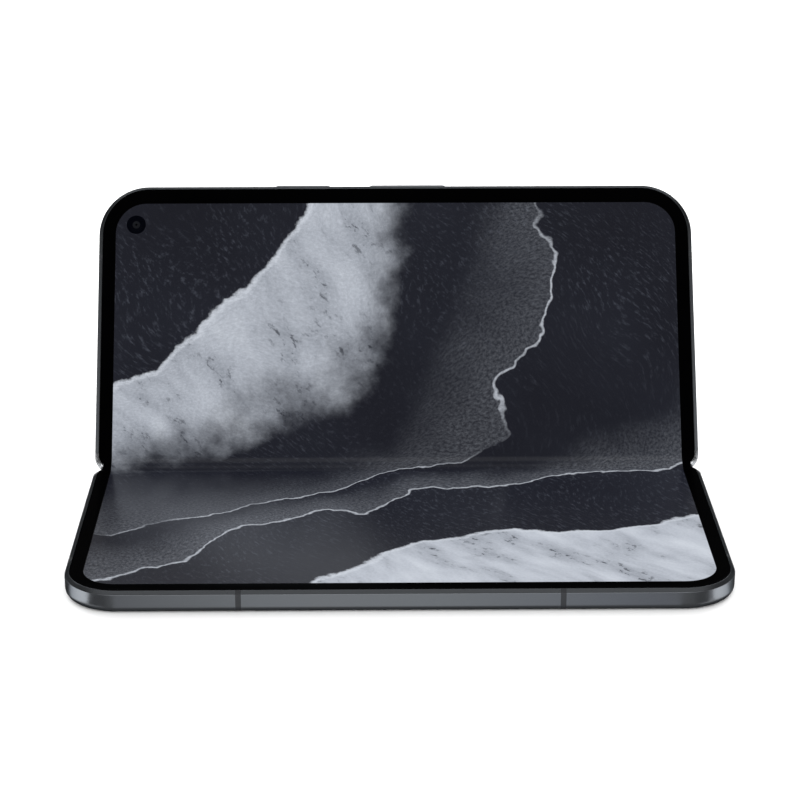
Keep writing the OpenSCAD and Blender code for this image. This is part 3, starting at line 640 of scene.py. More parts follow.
    # black margin outside the lit area
    qx = g.sub(g.math("ABSOLUTE", x), LIT_X - LIT_R)
    qs = g.sub(g.math("ABSOLUTE", s), LIT_Y - LIT_R)
    mx, ms = g.math("MAXIMUM", qx, 0.0), g.math("MAXIMUM", qs, 0.0)
    dist = g.sub(g.math("SQRT", g.add(g.mul(mx, mx), g.mul(ms, ms))), LIT_R)
    inner = g.math("MINIMUM", g.math("MAXIMUM", qx, qs), 0.0)
    lit = g.remap(g.add(dist, inner), -0.05, 0.05, 1.0, 0.0)
    col = g.mix(lit, (0.0, 0.0, 0.0), col)
    g.set(Base_Color=g.mix(lit, (0.0004, 0.0004, 0.0005), (0.002, 0.002, 0.0025)), Roughness=g.remap(gritty, 0.2, 0.8, 0.2, 0.26, False),
          Specular_IOR_Level=0.38, Emission_Color=col, Emission_Strength=1.0)
    return g.m


M["screen"] = screen()


M["panel"] = unlit("panel_dark", (0.01, 0.01, 0.012), 0.3)

# CAD nodes that stay, with their own finish
keep = {
    "steel": ["lower_support_plate", "upper_support_plate", "centre_support_strip", "sim_reader", "hinge_brackets", "lower_hinge_arms", "upper_hinge_arms"],
    "spine": ["spine_end_blocks"],
    "hard": ["hinge_shafts", "hinge_end_pins", "friction_washers"],
    "screw": ["lower_hinge_screws", "upper_hinge_screws", "bracket_screws"],
    "brass": ["idler_gears_a", "idler_gears_b", "button_switches"],
    "nickel": ["lower_magnets", "upper_magnets", "shield_cans", "vibration_motor", "usb_c_port"],
    "copper": ["charging_coil"],
    "black": ["cover_camera", "earpiece_speaker", "loudspeaker", "camera_modules"],
    "wrap": ["lower_battery", "upper_battery"],
    "pcb": ["lower_subboard", "mainboard"],
    "panel": ["cover_display_panel"],
}
for k, names in keep.items():
    for n in names:
        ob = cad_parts[n]
        ob.data.materials.clear()
        ob.data.materials.append(M[k])

# ------------------------------------------------------------------ frames
def rail_profile(q):
    """rail section, its outer skin drawn in by q"""
    pts = [(1.2, 0.42), (1.2, 0.115)]
    rad = [0.0, 0.05]
    pts += [(1.2 - (1.2 - q) * math.sin(math.radians(t)), 1.7 - (1.6 - q) * math.cos(math.radians(t))) for t in (6, 12, 20, 28, 36, 44, 52, 60, 68, 76, 84, 90)]
    rad += [0.0] * 12
    pts += [(q, 1.76), (q, T - 0.65), (0.93, T - q), (1.04, T - q), (1.04, 4.66), (1.9, 4.66), (1.9, 0.8), (2.6, 0.8), (2.6, 0.42)]
    rad += [0.0, 0.26, 0.17, 0.04, 0.0, 0.0, 0.0, 0.0, 0.0]
    return fillet(pts, rad, 5, 0.03)


PROFILE = rail_profile(0.014)


def leaf_frame(name, where, cutters):
    mat = M["frame"]
    rails = path_sweep(name, PROFILE, lambda i: outline(i, i, R - i, UR, 12, 24, 24), where, mat)
    if cutters:
        cut(rails, cutters)
    kx = HW - 3.5
    lip = fillet([(UR + 0.9, 0.42), (1.2, 0.42), (1.2, 0.1), (0.3, 0.1), (0.3, 0.72), (UR + 0.9, 0.72)], [0, 0, 0.05, 0.28, 0.1, 0], 5, 0.02)
    lip = extrude_x(name + "_lip", lip, -kx + 0.1, kx - 0.1, where, mat)
    wall = extrude_x(name + "_wall", fillet([(UR + 0.1, 0.5), (UR + 0.9, 0.5), (UR + 0.9, 4.3), (UR + 0.1, 4.3)], 0.08, 3, 0.02), -HW + 1.6, HW - 1.6, where, mat)
    windows = [block("w", x - w, x + w, UR - 1, UR + 2, 2.2, 3.75, where, mat, 0.1, 0.05) for x, w in ((-48, 5.2), (0, 5.2), (48, 5.2), (-72.8, 2.95), (72.8, 2.95))]
    cut(wall, windows)
    mid = plate(name + "_mid", lambda i: outline(1.6 + i, 1.6 + i, R - 1.6 - i, UR + 0.12, 2, 10, 2), [(0, 3.76), (0, 4.34)], where, mat)
    return join(name, [rails, lip, wall, mid])


def round_x(u, z, r, x0, x1, where, seg=24):
    return loft("c", [[(x, u + r * math.cos(2 * math.pi * k / seg), z + r * math.sin(2 * math.pi * k / seg)) for k in range(seg)] for x in (x0, x1)], where, M["frame"])


def flared_x(u, z, r, x_face, where, seg=24, sgn=1):
    """hole in an end face with a small flare at its mouth"""
    st = [(r, x_face - sgn * 3.0), (r, x_face - sgn * 0.12), (r + 0.13, x_face + sgn * 0.01), (r + 0.3, x_face + sgn * 0.2)]
    return loft("c", [[(x, u + q * math.cos(2 * math.pi * k / seg), z + q * math.sin(2 * math.pi * k / seg)) for k in range(seg)] for q, x in st], where, M["frame"])


lower_cutters = [
    slot_x("c", 37.5, 2.4, 15.16, 1.56, [(0, HW - 3), (0, HW - 0.08), (-0.09, HW + 0.01), (-0.3, HW + 0.3)], "lo", M["frame"]),
    flared_x(49, 2.4, 0.45, HW, "lo"),
    flared_x(37.5, 2.4, 0.4, -HW, "lo", sgn=-1),
]
upper_cutters = [
    slot_x("c", 40, 2.4, 8.34, 2.56, [(0, HW - 3), (0, HW - 0.16), (-0.17, HW + 0.01), (-0.4, HW + 0.3)], "up", M["frame"]),
    slot_y("c", PX, 2.7, PL + 0.16, 2.06, [(0, L - 3), (0, L - 0.08), (-0.09, L + 0.01), (-0.3, L + 0.3)], "up", M["frame"]),
    slot_y("c", VX, 2.7, VL + 0.24, 2.14, [(0, L - 3), (0, L - 0.08), (-0.09, L + 0.01), (-0.3, L + 0.3)], "up", M["frame"]),
    flared_x(30, 2.4, 0.4, HW, "up"),
    flared_x(40, 2.4, 0.4, -HW, "up", sgn=-1),
] + [flared_x(L - 19 + s * d, 2.4, 0.55, HW, "up") for d in (1.6, 3.5, 5.4) for s in (-1, 1)]

lower_shell = leaf_frame("lower_frame_shell", "lo", lower_cutters)
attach(lower_shell, "lower_leaf"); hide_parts("lower_frame")
upper_shell = leaf_frame("upper_frame_shell", "up", upper_cutters)
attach(upper_shell, "upper_leaf"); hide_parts("upper_frame")

# antenna bands: plastic inlays a hair proud of the rail
def band_section():
    """outer skin of the rail, a hair proud of it, closed on the inside"""
    skin = [p for p in rail_profile(0.001) if (p[0] < 1.19 or p[1] < 0.41) and not (p[0] > 1.0 and p[1] > 1.0)]
    return skin + [(1.0, 4.9), (1.02, 4.6), (0.95, 1.6), (1.25, 0.35)]


BAND = band_section()


def bands(name, xs, us, where):
    obs = []
    for x in xs:
        obs.append(loft("b", [[(xx, L - i, z) for i, z in BAND] for xx in (x - 0.65, x + 0.65)], where, M["antenna"]))
    for u in us:
        for s in (-1, 1):
            obs.append(loft("b", [[(s * (HW - i), uu, z) for i, z in BAND] for uu in (u - 0.65, u + 0.65)], where, M["antenna"]))
    return join(name, obs)


lb = bands("lower_antenna_inlays", (-36.9, 36.9), (L - 19,), "lo")
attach(lb, "lower_leaf"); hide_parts("lower_antenna_bands")
ub = bands("upper_antenna_inlays", (-36.7, 37.2), (L - 19,), "up")
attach(ub, "upper_leaf"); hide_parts("upper_antenna_bands")

# ------------------------------------------------------------------ rims
def bezel(name, where, out_y=1.06, up=0.0):
    """black rim: out_y is its inset at the free edge, up is how far it stands over the frame"""
    out_i, in_x, in_y = 1.06, RIM_X, RIM_Y
    sec = [(0, 4.72), (0, T - 0.07), (0.005, T - 0.03), (0.012, T - 0.006 + up), (0.03, T + up), (0.96, T + up), (0.985, T - 0.01), (1.0, T - 0.03), (1.0, ZD - 0.01), (0.3, ZD - 0.01), (0.3, 4.72)]

    def shape(t):
        ix = out_i + (in_x - out_i) * t
        iy = out_y + (in_y - out_y) * t
        r0 = R - (out_i + out_y) / 2
        r = r0 + (RIM_R - r0) * t
        return outline(ix, iy, r, UR, 6, 24, 6)
    return path_sweep(name, sec, shape, where, M["bezel"])


lz = bezel("lower_rim", "lo")
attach(lz, "lower_leaf"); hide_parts("lower_inner_bezel")
uz = bezel("upper_rim", "up", 0.80, 0.006)
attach(uz, "upper_leaf"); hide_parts("upper_inner_bezel")

# ------------------------------------------------------------------ flexible display
START = {w: Vector(to_row([[0, UR, ZD]], w)[0]) for w in ("lo", "up")}
CENTRE = Vector(to_row([[0, 0, ZD]], "sp")[0])
CHORD = np.array([UR, ZD]) - np.array([0, 0])


def spine_in_leaf(y, z):
    """a point of the spine, given flat, as seen from the lower leaf's own flat frame at rest (u, z)"""
    p = to_row([[0, y, z]], "sp")[0] / MM
    return np.array([YO - p[1], p[2]])


C_LEAF = spine_in_leaf(0, ZD)
S_LEAF = np.array([UR, ZD])
D_LEAF = C_LEAF - S_LEAF


def fold_point(u, z):
    """rest place, in leaf coordinates, of a display point that lies at (u, z) when the phone is flat"""
    f = np.array([u, z]) - [A, ZX]

    def at(w):
        return rot(-PHI * w) @ f + [A, ZX]

    def err(w):
        t = float((at(w) - S_LEAF) @ D_LEAF / (D_LEAF @ D_LEAF))
        t = max(0.0, min(1.0, t))
        return t * t * (3 - 2 * t) - w
    ws = np.linspace(0, 1, 401)
    es = np.array([err(w) for w in ws])
    k = int(np.argmin(np.abs(es)))
    lo, hi = max(0.0, ws[k] - 0.0025), min(1.0, ws[k] + 0.0025)
    if err(lo) * err(hi) < 0:
        for _ in range(40):
            mid = (lo + hi) / 2
            if err(lo) * err(mid) <= 0:
                hi = mid
            else:
                lo = mid
        return at((lo + hi) / 2)
    return at(ws[k])


def fillet_point(p, z):
    """the point at the same place along the fold on a plain round fillet offset to z"""
    r5 = (C_LEAF[1] - ZD) / (1 - math.cos(PHI))
    cu = C_LEAF[0] + r5 * math.sin(PHI)
    th = math.atan2(cu - p[0], ZD + r5 - p[1])
    th = max(0.0, min(PHI, th))
    r = r5 - (z - ZD)
    return np.array([cu - r * math.sin(th), ZD + r5 - r * math.cos(th)])


US = [UR * (1 - k / 28) for k in range(29)]       # from the leaf to the fold centre
FOLD = {}
for z in (4.5, ZD, 5.2):
    exact = [fold_point(u, z) for u in US]
    FOLD[z] = [0.45 * p + 0.55 * fillet_point(p, z) for p in exact]


def corner_in(u):
    """how far the hinge-side corner has drawn in at u"""
    c = UR - 0.7
    return 0.0 if u >= c else KC - math.sqrt(max(KC * KC - (c - u) ** 2, 0))


def edge_x(u):
    return HW - 1.08 - min(1.2, corner_in(max(u, 0)))


def display(name, where, sign):
    """rows from the far edge to the fold centre; columns across, drawn in at the far corners"""
    inset = 1.45
    rc = R - inset
    top = L - inset
    rows = []
    for t in np.linspace(0, math.pi / 2, 25)[1:]:
        u = top - rc * (1 - math.sin(math.pi / 2 - t))
        rows.append((u, HW - inset - rc * (1 - math.sin(t))))
    rows.insert(0, (top, HW - inset - rc + 0.05))
    rows += [(u, HW - inset) for u in (55, 45, 35, 25, 15, 8)]
    n_col = 33
    frac = np.linspace(-1, 1, n_col)
    rings, uv_rings = [], []

    def add(e, t, b, u):
        xs = [e * f for f in frac]
        rings.append([(x, *t) for x in xs] + [(x, *b) for x in xs[::-1]])
        uv_rings.append([(x / 100, sign * u / 100) for x in xs] + [(x / 100, sign * u / 100) for x in xs[::-1]])
    for u, e in rows:
        add(e, (u, ZD), (u, 4.5), u)
    for k, u in enumerate(US):
        add(edge_x(u), FOLD[ZD][k], FOLD[4.5][k], u)
    m = 2 * n_col
    verts = [p for r in rings for p in r]
    uv = [q for r in uv_rings for q in r]
    faces, fm = [], []
    for k in range(len(rings) - 1):
        for j in range(m):
            j2 = (j + 1) % m
            faces.append((k * m + j, k * m + j2, (k + 1) * m + j2, (k + 1) * m + j))
            fm.append(0 if j < n_col - 1 else 1)
    faces.append(tuple(range(m - 1, -1, -1)))
    faces.append(tuple(range((len(rings) - 1) * m, len(rings) * m)))
    fm += [1, 1]
    return make(name, verts, faces, where, [M["screen"], M["bezel"]], 40.0, fm, uv)


dl = display("display_lower", "lo", -1)
du = display("display_upper", "up", 1)
cut(du, [lathe("h", [(2.5, 3), (2.5, 7)], (-67.9, L - 10.4), "up", M["bezel"], seg=64)], 40.0)


def border(name, where):
    """black flexible border that carries the rim across the fold"""
    obs = []
    xi = HW - RIM_X
    for s in (-1, 1):
        rings = []
        for k, u in enumerate(US):
            e = edge_x(u)
            b, t = FOLD[ZD][k], FOLD[5.2][k]
            mid = t + (b - t) * 0.3
            ring = [(s * xi, *b), (s * xi, *mid), (s * (xi + 0.06), *t), (s * (e - 0.08), *t), (s * e, *mid), (s * e, *b)]
            rings.append(ring)
        obs.append(loft("b", rings, where, M["bezel"]))
    return join(name, obs)


bl = border("fold_border_lower", "lo")
bu = border("fold_border_upper", "up")
for ob, leaf, w, node in ((dl, "lower_leaf", "lo", "inner_display_lower"), (du, "upper_leaf", "up", "inner_display_upper"), (bl, "lower_leaf", "lo", None), (bu, "upper_leaf", "up", None)):
    if w == "lo":
        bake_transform(ob)
    else:
        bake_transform(ob)
    if node:
        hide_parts(node, "display_fold_strip")
    else:
        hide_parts("fold_border_strips")

# ------------------------------------------------------------------ glass
def glass_shape(i0):
    def shape(i):
        q = i0 + i
        return rounded(-HW + q, HW - q, q, L - q, [max(3.4 - i, 0.05), max(3.4 - i, 0.05), R - q, R - q], 14)
    return shape


def outer_glass(name, where, mat, holes):
    st = [(0.0, 0.4), (0.0, 0.13)] + [(0.13 - 0.13 * math.cos(math.radians(t)), 0.13 - 0.13 * math.sin(math.radians(t))) for t in (15, 30, 45, 60, 75, 90)] + [(0.17, 0.0)]
    ob = plate(name, glass_shape(1.25), st, where, mat)
    if holes:
        cut(ob, holes)
    return ob


cg = outer_glass("cover_glass_plate", "lo", M["cover_glass"], [])
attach(cg, "lower_leaf"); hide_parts("cover_glass")

ISL = (-HW + 7, -HW + 7 + 45.0, L - 27, L - 7)
CAMS = [ISL[0] + 8.8 + i * 11.8 for i in range(3)]
CU = (ISL[2] + ISL[3]) / 2
FX = ISL[1] - 4.6
bg_holes = [lathe("h", [(4.55, -1), (4.55, 1)], (x, CU), "up", M["back_glass"]) for x in CAMS] + [lathe("h", [(2.05, -1), (2.05, 1)], (FX, CU), "up", M["back_glass"])]
bg = outer_glass("back_glass_plate", "up", M["back_glass"], bg_holes)
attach(bg, "upper_leaf"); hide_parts("back_glass")

# ------------------------------------------------------------------ camera island
def isl_shape(i):
    return rounded(ISL[0] + i, ISL[1] - i, ISL[2] + i, ISL[3] - i, max(7.5 - i, 0.1), 16)


st = [(0.0, 0.0), (0.0, -0.95)] + [(0.5 - 0.5 * math.cos(math.radians(t)), -1.0 - 0.5 * math.sin(math.radians(t))) for t in range(0, 91, 15)] + [(0.55, -1.5)]
island = plate("camera_island_plate", isl_shape, st, "up", M["island"])
holes = [lathe("h", [(4.5, -3), (4.5, 1)], (x, CU), "up", M["island"]) for x in CAMS]
holes += [lathe("h", [(2.0, 1), (2.0, -1.42), (2.1, -1.52), (2.3, -1.7)], (FX, CU), "up", M["island"])]
holes += [lathe("h", [(0.35, 1), (0.35, -1.45), (0.42, -1.52), (0.5, -1.7)], (FX, CU + 5.2), "up", M["island"], seg=24)]
cut(island, holes)
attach(island, "upper_leaf"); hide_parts("camera_island")

rings_o, glasses, barrels = [], [], []
for i, x in enumerate(CAMS):
    prof = fillet([(4.5, -1.45), (4.5, -2.5), (5.4, -2.5), (5.4, -1.45)], [0, 0.12, 0.3, 0], 5, 0.02)
    prof = [(4.52, -1.45), (4.52, -2.3), (4.66, -2.44), (4.8, -2.5), (5.1, -2.5), (5.22, -2.47), (5.33, -2.4), (5.39, -2.28), (5.4, -2.1), (5.4, -1.5), (5.4, -1.45)]
    n = 72
    rr = [[(x + r * math.cos(2 * math.pi * k / n), CU + r * math.sin(2 * math.pi * k / n), z) for r, z in prof] for k in range(n)]
    verts = [p for q in rr for p in q]
    m = len(prof)
    faces = [(k * m + j, k * m + (j + 1) % m, ((k + 1) % n) * m + (j + 1) % m, ((k + 1) % n) * m + j) for k in range(n) for j in range(m)]
    rings_o.append(make("r", verts, faces, "up", M["polish"]))
    glasses.append(lathe("g", [(0, -1.85), (4.35, -1.85), (4.45, -1.95), (4.45, -2.25), (4.38, -2.33), (4.3, -2.35), (0, -2.35)], (x, CU), "up", M["lens_glass"], seg=72))
    # stepped barrel behind the window, with a domed front element
    step = [(0, 3.0), (4.2, 3.0), (4.2, -1.75), (4.05, -1.8), (3.9, -1.78), (3.85, -1.7), (3.55, -1.62), (3.5, -1.5), (3.2, -1.42), (3.15, -1.3), (2.8, -1.2), (2.75, -1.05), (2.4, -0.95), (2.35, -0.75), (0, -0.75)]
    barrels.append(lathe("s", step, (x, CU), "up", M["lens_black"], seg=72, sharp=25))
    dome = [(0, -0.7), (2.3, -0.7), (2.3, -0.8), (2.1, -0.98), (1.8, -1.14), (1.4, -1.28), (1.0, -1.37), (0.5, -1.43), (0, -1.45)]
    # each lens's colour below is its painted reflection, the coating's coloured sheen
    barrels.append(lathe("d", dome, (x, CU), "up", lens_coat("lens_coat_%d" % i, [(0.03, 0.05, 0.13), (0.07, 0.035, 0.12), (0.025, 0.06, 0.11)][i], (x, CU)), seg=64))
r_ob = join("camera_ring_set", rings_o)
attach(r_ob, "upper_leaf"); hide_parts("camera_rings")
g_ob = join("camera_window_set", glasses)
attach(g_ob, "upper_leaf"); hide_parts("camera_glasses")
b_ob = join("camera_barrel_set", barrels)
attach(b_ob, "upper_leaf"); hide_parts("camera_modules")
flash = lathe("flash_lens", [(0, 0.9), (1.0, 0.9), (1.9, -0.8), (1.93, -1.3), (1.88, -1.42), (1.75, -1.46), (1.5, -1.4), (1.25, -1.46), (1.0, -1.4), (0.75, -1.46), (0.5, -1.4), (0.25, -1.46), (0, -1.46)], (FX, CU), "up", M["flash"], seg=48, sharp=50)
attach(flash, "upper_leaf"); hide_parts("flash_window")

# ------------------------------------------------------------------ inner camera
IC = (-67.9, L - 10.4)
zt = ZD
ic = lathe("inner_camera_disc", [(0, 4.2), (2.28, 4.2), (2.28, 4.52), (2.49, 4.56), (2.49, zt - 0.03), (2.46, zt - 0.005), (2.41, zt), (1.2, zt - 0.002), (1.16, zt - 0.02), (1.12, zt - 0.12), (0.8, zt - 0.16), (0, zt - 0.16)], IC, "up", M["lens_rim"], seg=64, sharp=25)
ic2 = lathe("d", [(0, zt - 0.18), (1.06, zt - 0.18), (1.06, zt - 0.15), (0.9, zt - 0.11), (0.6, zt - 0.075), (0.35, zt - 0.055), (0, zt - 0.05)], IC, "up", M["lens_in"], seg=48)
ic3 = lathe("d", [(0, zt - 0.08), (0.28, zt - 0.08), (0.28, zt - 0.045), (0.2, zt - 0.04), (0, zt - 0.038)], IC, "up", M["bezel"], seg=32)
ic = join("inner_camera_lens", [ic, ic2, ic3], 25)
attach(ic, "upper_leaf"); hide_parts("inner_camera")

# ------------------------------------------------------------------ buttons and tray
def button(name, x, length, inner, body):
    z = 2.7
    st = [(0.0, L - 1.9), (0.0, L + KEY - 0.2), (0.02, L + KEY - 0.13), (0.06, L + KEY - 0.07), (0.12, L + KEY - 0.025), (0.2, L + KEY), (0.3, L + KEY)]
    a = slot_y("a", x, z, length, 1.9, [(i, u) for i, u in st], "up", M["button"])
    b = block("b", x - length / 2 - 0.6, x + length / 2 + 0.6, L - inner, L - 2.1 if name == "power_key" else L - 2.3, 1.6, 3.65, "up", M["button"], 0.15, 0.1)
    c = slot_y("c", x, z, length, 1.9, [(0.0, L - inner), (0.0, L - 1.85)], "up", M["button"])
    ob = join(name, [a, b, c])
    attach(ob, body)
    return ob


pk = button("power_key", PX, PL, 2.7, "power_button")
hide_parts("power_button")
vk = button("volume_key", VX, VL, 2.8, "volume_rocker")
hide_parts("volume_rocker")

head = slot_x("a", 37.5, 2.4, 15.0, 1.4, [(0.05, HW - 1.3), (0, HW - 1.25), (0, HW - 0.06), (0.02, HW - 0.02), (0.06, HW), (0.12, HW)], "lo", M["frame"])
tray = plate("b", lambda i: rounded(HW - 20 + i, HW - 1.28 - i, 31 + i, 44 - i, 0.6, 5), edge_stations(2.0, 2.75, 0.08, 0.08, 3), "lo", M["frame"])
pocket = plate("c", lambda i: rounded(HW - 19 + i, HW - 6.7 - i, 32.1 + i, 40.9 - i, 0.5, 5), [(0, 1.5), (0, 2.6)], "lo", M["frame"])
cut(tray, [pocket])
tr = join("card_tray", [head, tray])
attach(tr, "sim_tray"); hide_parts("sim_tray")

# ------------------------------------------------------------------ knuckles
def corner_plan(s, q, far):
    """plan of a hinge-side corner drawn in by q, out to u = far"""
    c, r = HW - KC, KC - q
    pts = [(s * 70.0, UR - 0.7 - r)]
    pts += [(s * (c + r * math.sin(t)), UR - 0.7 - r * math.cos(t)) for t in np.linspace(0, math.pi / 2, 25)]
    return pts + [(s * (c + r), far), (s * 70.0, far)]


def common(ob, other):
    m = ob.modifiers.new("meet", "BOOLEAN")
    m.operation = "INTERSECT"
    m.solver = "EXACT"
    m.object = other
    bake(ob, 35)
    me = other.data
    bpy.data.objects.remove(other)
    bpy.data.meshes.remove(me)
    return ob


def knuckle(where, s):
    kr = T - ZX
    mat = M["knuckle"]
    st = [(1.2 - 1.19 * math.sin(math.radians(t)), 1.7 - 1.59 * math.cos(math.radians(t))) for t in range(6, 91, 7)]
    st += [(0.01, 4.5), (0.03, 4.58), (0.88, 5.165), (0.94, 5.185)]
    body = loft("k", [[(x, u, z) for x, u in corner_plan(s, i, UR - 0.03)] for i, z in st], where, mat)
    sec = [(7.0, -0.6), (7.0, 6.5), (A, 6.5), (A, 5.3)]
    sec = [(7.0, -0.6), (7.0, 5.45)] + [(A - kr * math.sin(t), ZX + kr * math.cos(t)) for t in np.linspace(-0.2, math.pi / 2, 23)]
    sec += [(0.12, ZX - 0.3), (0.3, ZX - 0.9), (0.3, 1.3), (0.34, 1.0), (0.45, 0.72), (0.62, 0.45), (0.85, 0.25), (1.1, 0.13), (1.5, 0.04)]
    solid = loft("c", [[(x, u, z) for u, z in sec] for x in (s * (HW - 3.5), s * (HW + 1.0))], where, mat)
    common(body, solid)
    over = [(UR + 2, 4.4), (A, 4.4)] + [(A - 1.6 * math.sin(t), ZX + 1.6 * math.cos(t)) for t in np.linspace(0.05, math.pi / 2, 15)] + [(-3, ZX), (-3, 9), (UR + 2, 9)]
    cutter = loft("c", [[(x, u, z) for x, u in corner_plan(s, 1.06, UR + 1)] for z in (0.5, 8.0)], where, mat)
    common(cutter, loft("c", [[(x, u, z) for u, z in over] for x in (s * 60.0, s * (HW + 1.0))], where, mat))
    glass = plate("c", glass_shape(1.22), [(0, -0.5), (0, 0.41)], where, mat)
    bore = loft("c", [[(s * x, A + 0.65 * math.cos(2 * math.pi * k / 32), ZX + 0.65 * math.sin(2 * math.pi * k / 32)) for k in range(32)] for x in (HW - 4.5, HW - 1.1)], where, mat)
    cut(body, [cutter, glass, bore], 35)
    tidy(body)
    tongue = block("t", min(s * 70, s * (HW - 2)), max(s * 70, s * (HW - 2)), UR + 0.2, 12, 2.85, 3.7, where, M["steel"], 0.3, 0.08)
    return [body, tongue]


for name, where, body in (("lower_knuckle_pair", "lo", "lower_leaf"), ("upper_knuckle_pair", "up", "upper_leaf")):
    parts = []
    for s in (-1, 1):
        parts += knuckle(where, s)
    ob = join(name, parts, 35)
    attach(ob, body)
    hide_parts("lower_knuckles" if where == "lo" else "upper_knuckles")

# ------------------------------------------------------------------ spine
def stad_pt(r, t):
    """lower half of a stadium about the two fold axes, t from 0 at +y round to 1 at -y"""
    ang0 = math.asin(0.8 / r)
    arc = (math.pi / 2 - ang0) * r
    total = 2 * arc + 2 * A
    d = t * total
    if d < arc:
        a = -ang0 - d / r
        return (A + r * math.cos(a), ZX + r * math.sin(a))
    if d < arc + 2 * A:
        return (A - (d - arc), ZX - r)
    a = -math.pi / 2 - (d - arc - 2 * A) / r
    return (-A + r * math.cos(a), ZX + r * math.sin(a))


def spine_section(q):
    out = [stad_pt(1.9 - q, k / 48) for k in range(49)]
    out[0] = (out[0][0], ZX - 0.82)
    inner = [stad_pt(1.4, k / 48) for k in range(49)][::-1]
    return out + inner


sx = HW - 3.7
xs = [(0.25, -sx), (0.12, -sx + 0.04), (0.04, -sx + 0.12), (0.0, -sx + 0.28), (0.0, -40), (0.0, 0), (0.0, 40), (0.0, sx - 0.28), (0.04, sx - 0.12), (0.12, sx - 0.04), (0.25, sx)]
spine = loft("spine_cover_shell", [[(x, y, z) for y, z in spine_section(q)] for q, x in xs], "sp", M["spine"], sharp=40)
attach(spine, "spine"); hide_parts("spine_cover")

# ------------------------------------------------------------------ studio
def floor_material():
    g = Graph("studio_floor")
    o = g.coords()
    n = g.noise(o, 30.0, 3.0, 0.5)
    g.set(Base_Color=g.mix(n, (0.905, 0.905, 0.905), (0.925, 0.925, 0.925)), Roughness=0.9, Specular_IOR_Level=0.0)
    return g.m


me = bpy.data.meshes.new("floor")
me.from_pydata([(-30, -30, 0), (30, -30, 0), (30, 30, 0), (-30, 30, 0)], [], [(0, 1, 2, 3)])
me.materials.append(floor_material())
floor = bpy.data.objects.new("floor", me)
scene.collection.objects.link(floor)
floor.location.z = -0.00002

world = bpy.data.worlds.new("studio")
scene.world = world
world.use_nodes = True
nt = world.node_tree
nt.nodes.clear()
out = nt.nodes.new("ShaderNodeOutputWorld")
bg_white = nt.nodes.new("ShaderNodeBackground")
bg_white.inputs[0].default_value = (1, 1, 1, 1)
bg_white.inputs[1].default_value = 1.40
bg_dark = nt.nodes.new("ShaderNodeBackground")
bg_dark.inputs[0].default_value = (1, 1, 1, 1)
bg_dark.inputs[1].default_value = 0.1
lp = nt.nodes.new("ShaderNodeLightPath")
mixs = nt.nodes.new("ShaderNodeMixShader")
nt.links.new(lp.outputs["Is Glossy Ray"], mixs.inputs[0])
nt.links.new(bg_white.outputs[0], mixs.inputs[1])
nt.links.new(bg_dark.outputs[0], mixs.inputs[2])
nt.links.new(mixs.outputs[0], out.inputs[0])


def area(name, loc, target, size, power, shape="RECTANGLE", glossy=1.0):
    d = bpy.data.lights.new(name, "AREA")
    d.shape = shape
    d.size, d.size_y = size
    d.energy = power
    d.specular_factor = glossy
    ob = bpy.data.objects.new(name, d)
    scene.collection.objects.link(ob)
    ob.location = loc
    ob.rotation_euler = (Vector(target) - Vector(loc)).to_track_quat("-Z", "Y").to_euler()
    return ob


def gloss_only(name, loc, target, size, radiance):
    """a soft box seen only in reflections, so that it shapes highlights and leaves the floor even"""
    ob = area(name, loc, target, size, math.pi * size[0] * size[1] * radiance)
    ob.visible_diffuse = False
    ob.visible_camera = False
    return ob


def glow_material(name, radiance):
    g = Graph(name)
    n = g.noise(g.coords(), 20.0, 2.0, 0.5)
    g.set(Base_Color=(0.0, 0.0, 0.0, 1.0), Emission_Color=g.mix(n, (0.97, 0.98, 1.0), (1.0, 1.0, 1.0)), Emission_Strength=radiance)
    return g.m


def table_card(name, points, height, mat):
    """card lying on the table, seen only in reflections. points and height in mm"""
    me = bpy.data.meshes.new(name)
    me.from_pydata([(x * MM, y * MM, height * MM) for x, y in points], [], [tuple(range(len(points)))])
    bm = bmesh.new()
    bm.from_mesh(me)
    if bm.faces[:][0].normal.z < 0:
        bmesh.ops.reverse_faces(bm, faces=bm.faces)
    bm.to_mesh(me)
    bm.free()
    me.materials.append(mat)
    ob = bpy.data.objects.new(name, me)
    scene.collection.objects.link(ob)
    ob.visible_camera = False
    ob.visible_diffuse = False
    ob.visible_shadow = False
    ob.visible_transmission = False
    return ob


def front_glow():
    """pale card in front of the phone, darker towards its two ends and a little more so on the right"""
    g = Graph("front_card_glow")
    x = g.split(g.coords())[0]
    tones = [(-80, (0.45, 0.45, 0.47)), (-66, (0.555, 0.56, 0.58)), (-58, (0.655, 0.66, 0.675)), (-46, (0.77, 0.78, 0.79)), (-32, (0.92, 0.935, 0.95)), (-18, (0.98, 0.99, 1.0)),
             (8, (0.965, 0.985, 1.0)), (19, (0.91, 0.93, 0.955)), (33, (0.82, 0.84, 0.88)), (46, (0.705, 0.725, 0.78)), (56, (0.60, 0.615, 0.67)), (62, (0.545, 0.555, 0.60)), (66, (0.535, 0.545, 0.58)), (80, (0.45, 0.45, 0.47))]
    e = g.ramp(g.mad(x, 5.0, 0.5), [(0.5 + t * 0.005, c) for t, c in tones])
    g.set(Base_Color=(0.0, 0.0, 0.0, 1.0), Emission_Color=e, Emission_Strength=1.07)
    return g.m


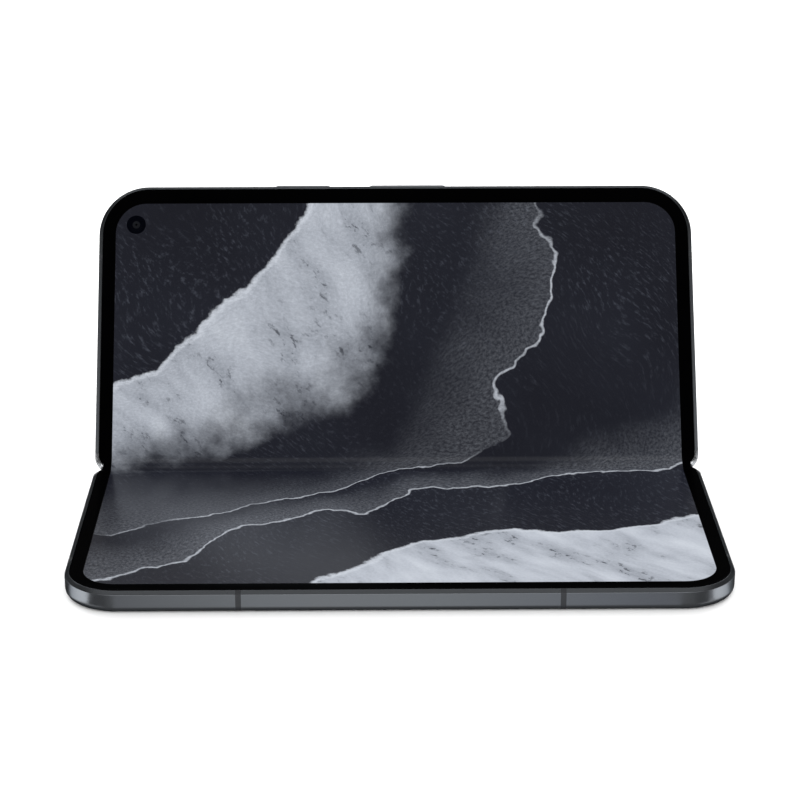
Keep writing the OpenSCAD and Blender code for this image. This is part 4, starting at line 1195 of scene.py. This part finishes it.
for side, tag in ((-1, "left"), (1, "right")):
    # fills the floor beside the phone, so that its shade stays in front
    fill = area("fill_box_" + tag, (side * 0.65, 0.95, 0.55), (0, 0, 0), (0.6, 0.4), 8.5, glossy=0.0)
    fill.visible_glossy = False
    fill.visible_camera = False
gloss_only("top_box", (0.0, -0.235, 1.0), (0, -0.235, 0), (1.5, 0.77), 0.42)
gloss_only("back_box", (0.0, 1.0, 0.98), (0, 0.08, 0.06), (2.0, 0.5), 2.4)
gloss_only("front_box", (0.0, -1.2, 0.22), (0, 0, 0.01), (1.8, 0.40), 2.6)
for side, tag in ((-1, "left"), (1, "right")):
    gloss_only("side_box_" + tag, (side * 0.72, 0.20, 0.10), (0, 0, 0.01), (0.9, 0.24), 1.0)
    table_card("hinge_card_" + tag, [(side * x, y) for x, y in ((79.5, -3), (170, -3), (170, 85), (79.5, 85))], 0.15, glow_material("hinge_glow_" + tag, 1.3))
table_card("front_card", [(-105, -38.6), (-105, -135), (105, -135), (105, -38.6)], 0.1, front_glow())
table_card("corner_card_left", [(-74.6, -37.2), (-80.5, -41.0), (-104, -44.5), (-104, -27.0), (-83.2, -27.2), (-80.2, -29.0), (-77.6, -30.8), (-77.1, -32.0)], 0.15, glow_material("corner_glow_left", 3.25))
table_card("corner_card_right", [(74.8, -37.05), (81.7, -41.0), (104, -42.0), (104, -29.5), (80.4, -29.5), (77.9, -30.8)], 0.15, glow_material("corner_glow_right", 3.1))
table_card("flag_left", [(-68.0, -40.1), (-78.3, -65.6), (-97.4, -50.7), (-73.4, -37.4)], 0.2, glow_material("flag_glow_left", 0.2))
table_card("flag_right", [(68.3, -40.0), (79.5, -65.1), (94.8, -54.2), (72.5, -38.1)], 0.2, glow_material("flag_glow_right", 0.2))
table_card("soft_flag_left", [(-65.6, -39.0), (-69.2, -56.0), (-78.5, -53.0), (-68.6, -38.9)], 0.15, glow_material("soft_flag_glow_left", 0.3))
table_card("soft_flag_right", [(63.8, -39.0), (67.0, -56.0), (79.0, -53.0), (69.2, -38.7)], 0.15, glow_material("soft_flag_glow_right", 0.3))
table_card("side_flag_left", [(-77.8, -30.4), (-80.2, -28.8), (-83.2, -27.0), (-104, -26.8), (-104, -4), (-78.7, -4)], 0.2, glow_material("side_flag_glow_left", 0.15))
table_card("side_flag_right", [(77.9, -28.5), (80.4, -25.6), (83.0, -23.4), (104, -23.4), (104, -4), (78.7, -4)], 0.2, glow_material("side_flag_glow_right", 0.25))
# painted shade: a dim card round the phone's footprint, seen only in reflections, darkens the bottom rounding and the
# corners' lower edge in place of the floor's contact shade
ring = [(x, YO - u) for x, u in outline(-1.0, -1.0, R + 1.0, 55.0, 4, 16, 4)] + [(x, YO - u) for x, u in outline(2.5, 2.5, R - 2.5, 55.0, 4, 16, 4)[::-1]]
table_card("painted_contact_shade", ring, 0.25, glow_material("edge_flag_glow", 0.24))
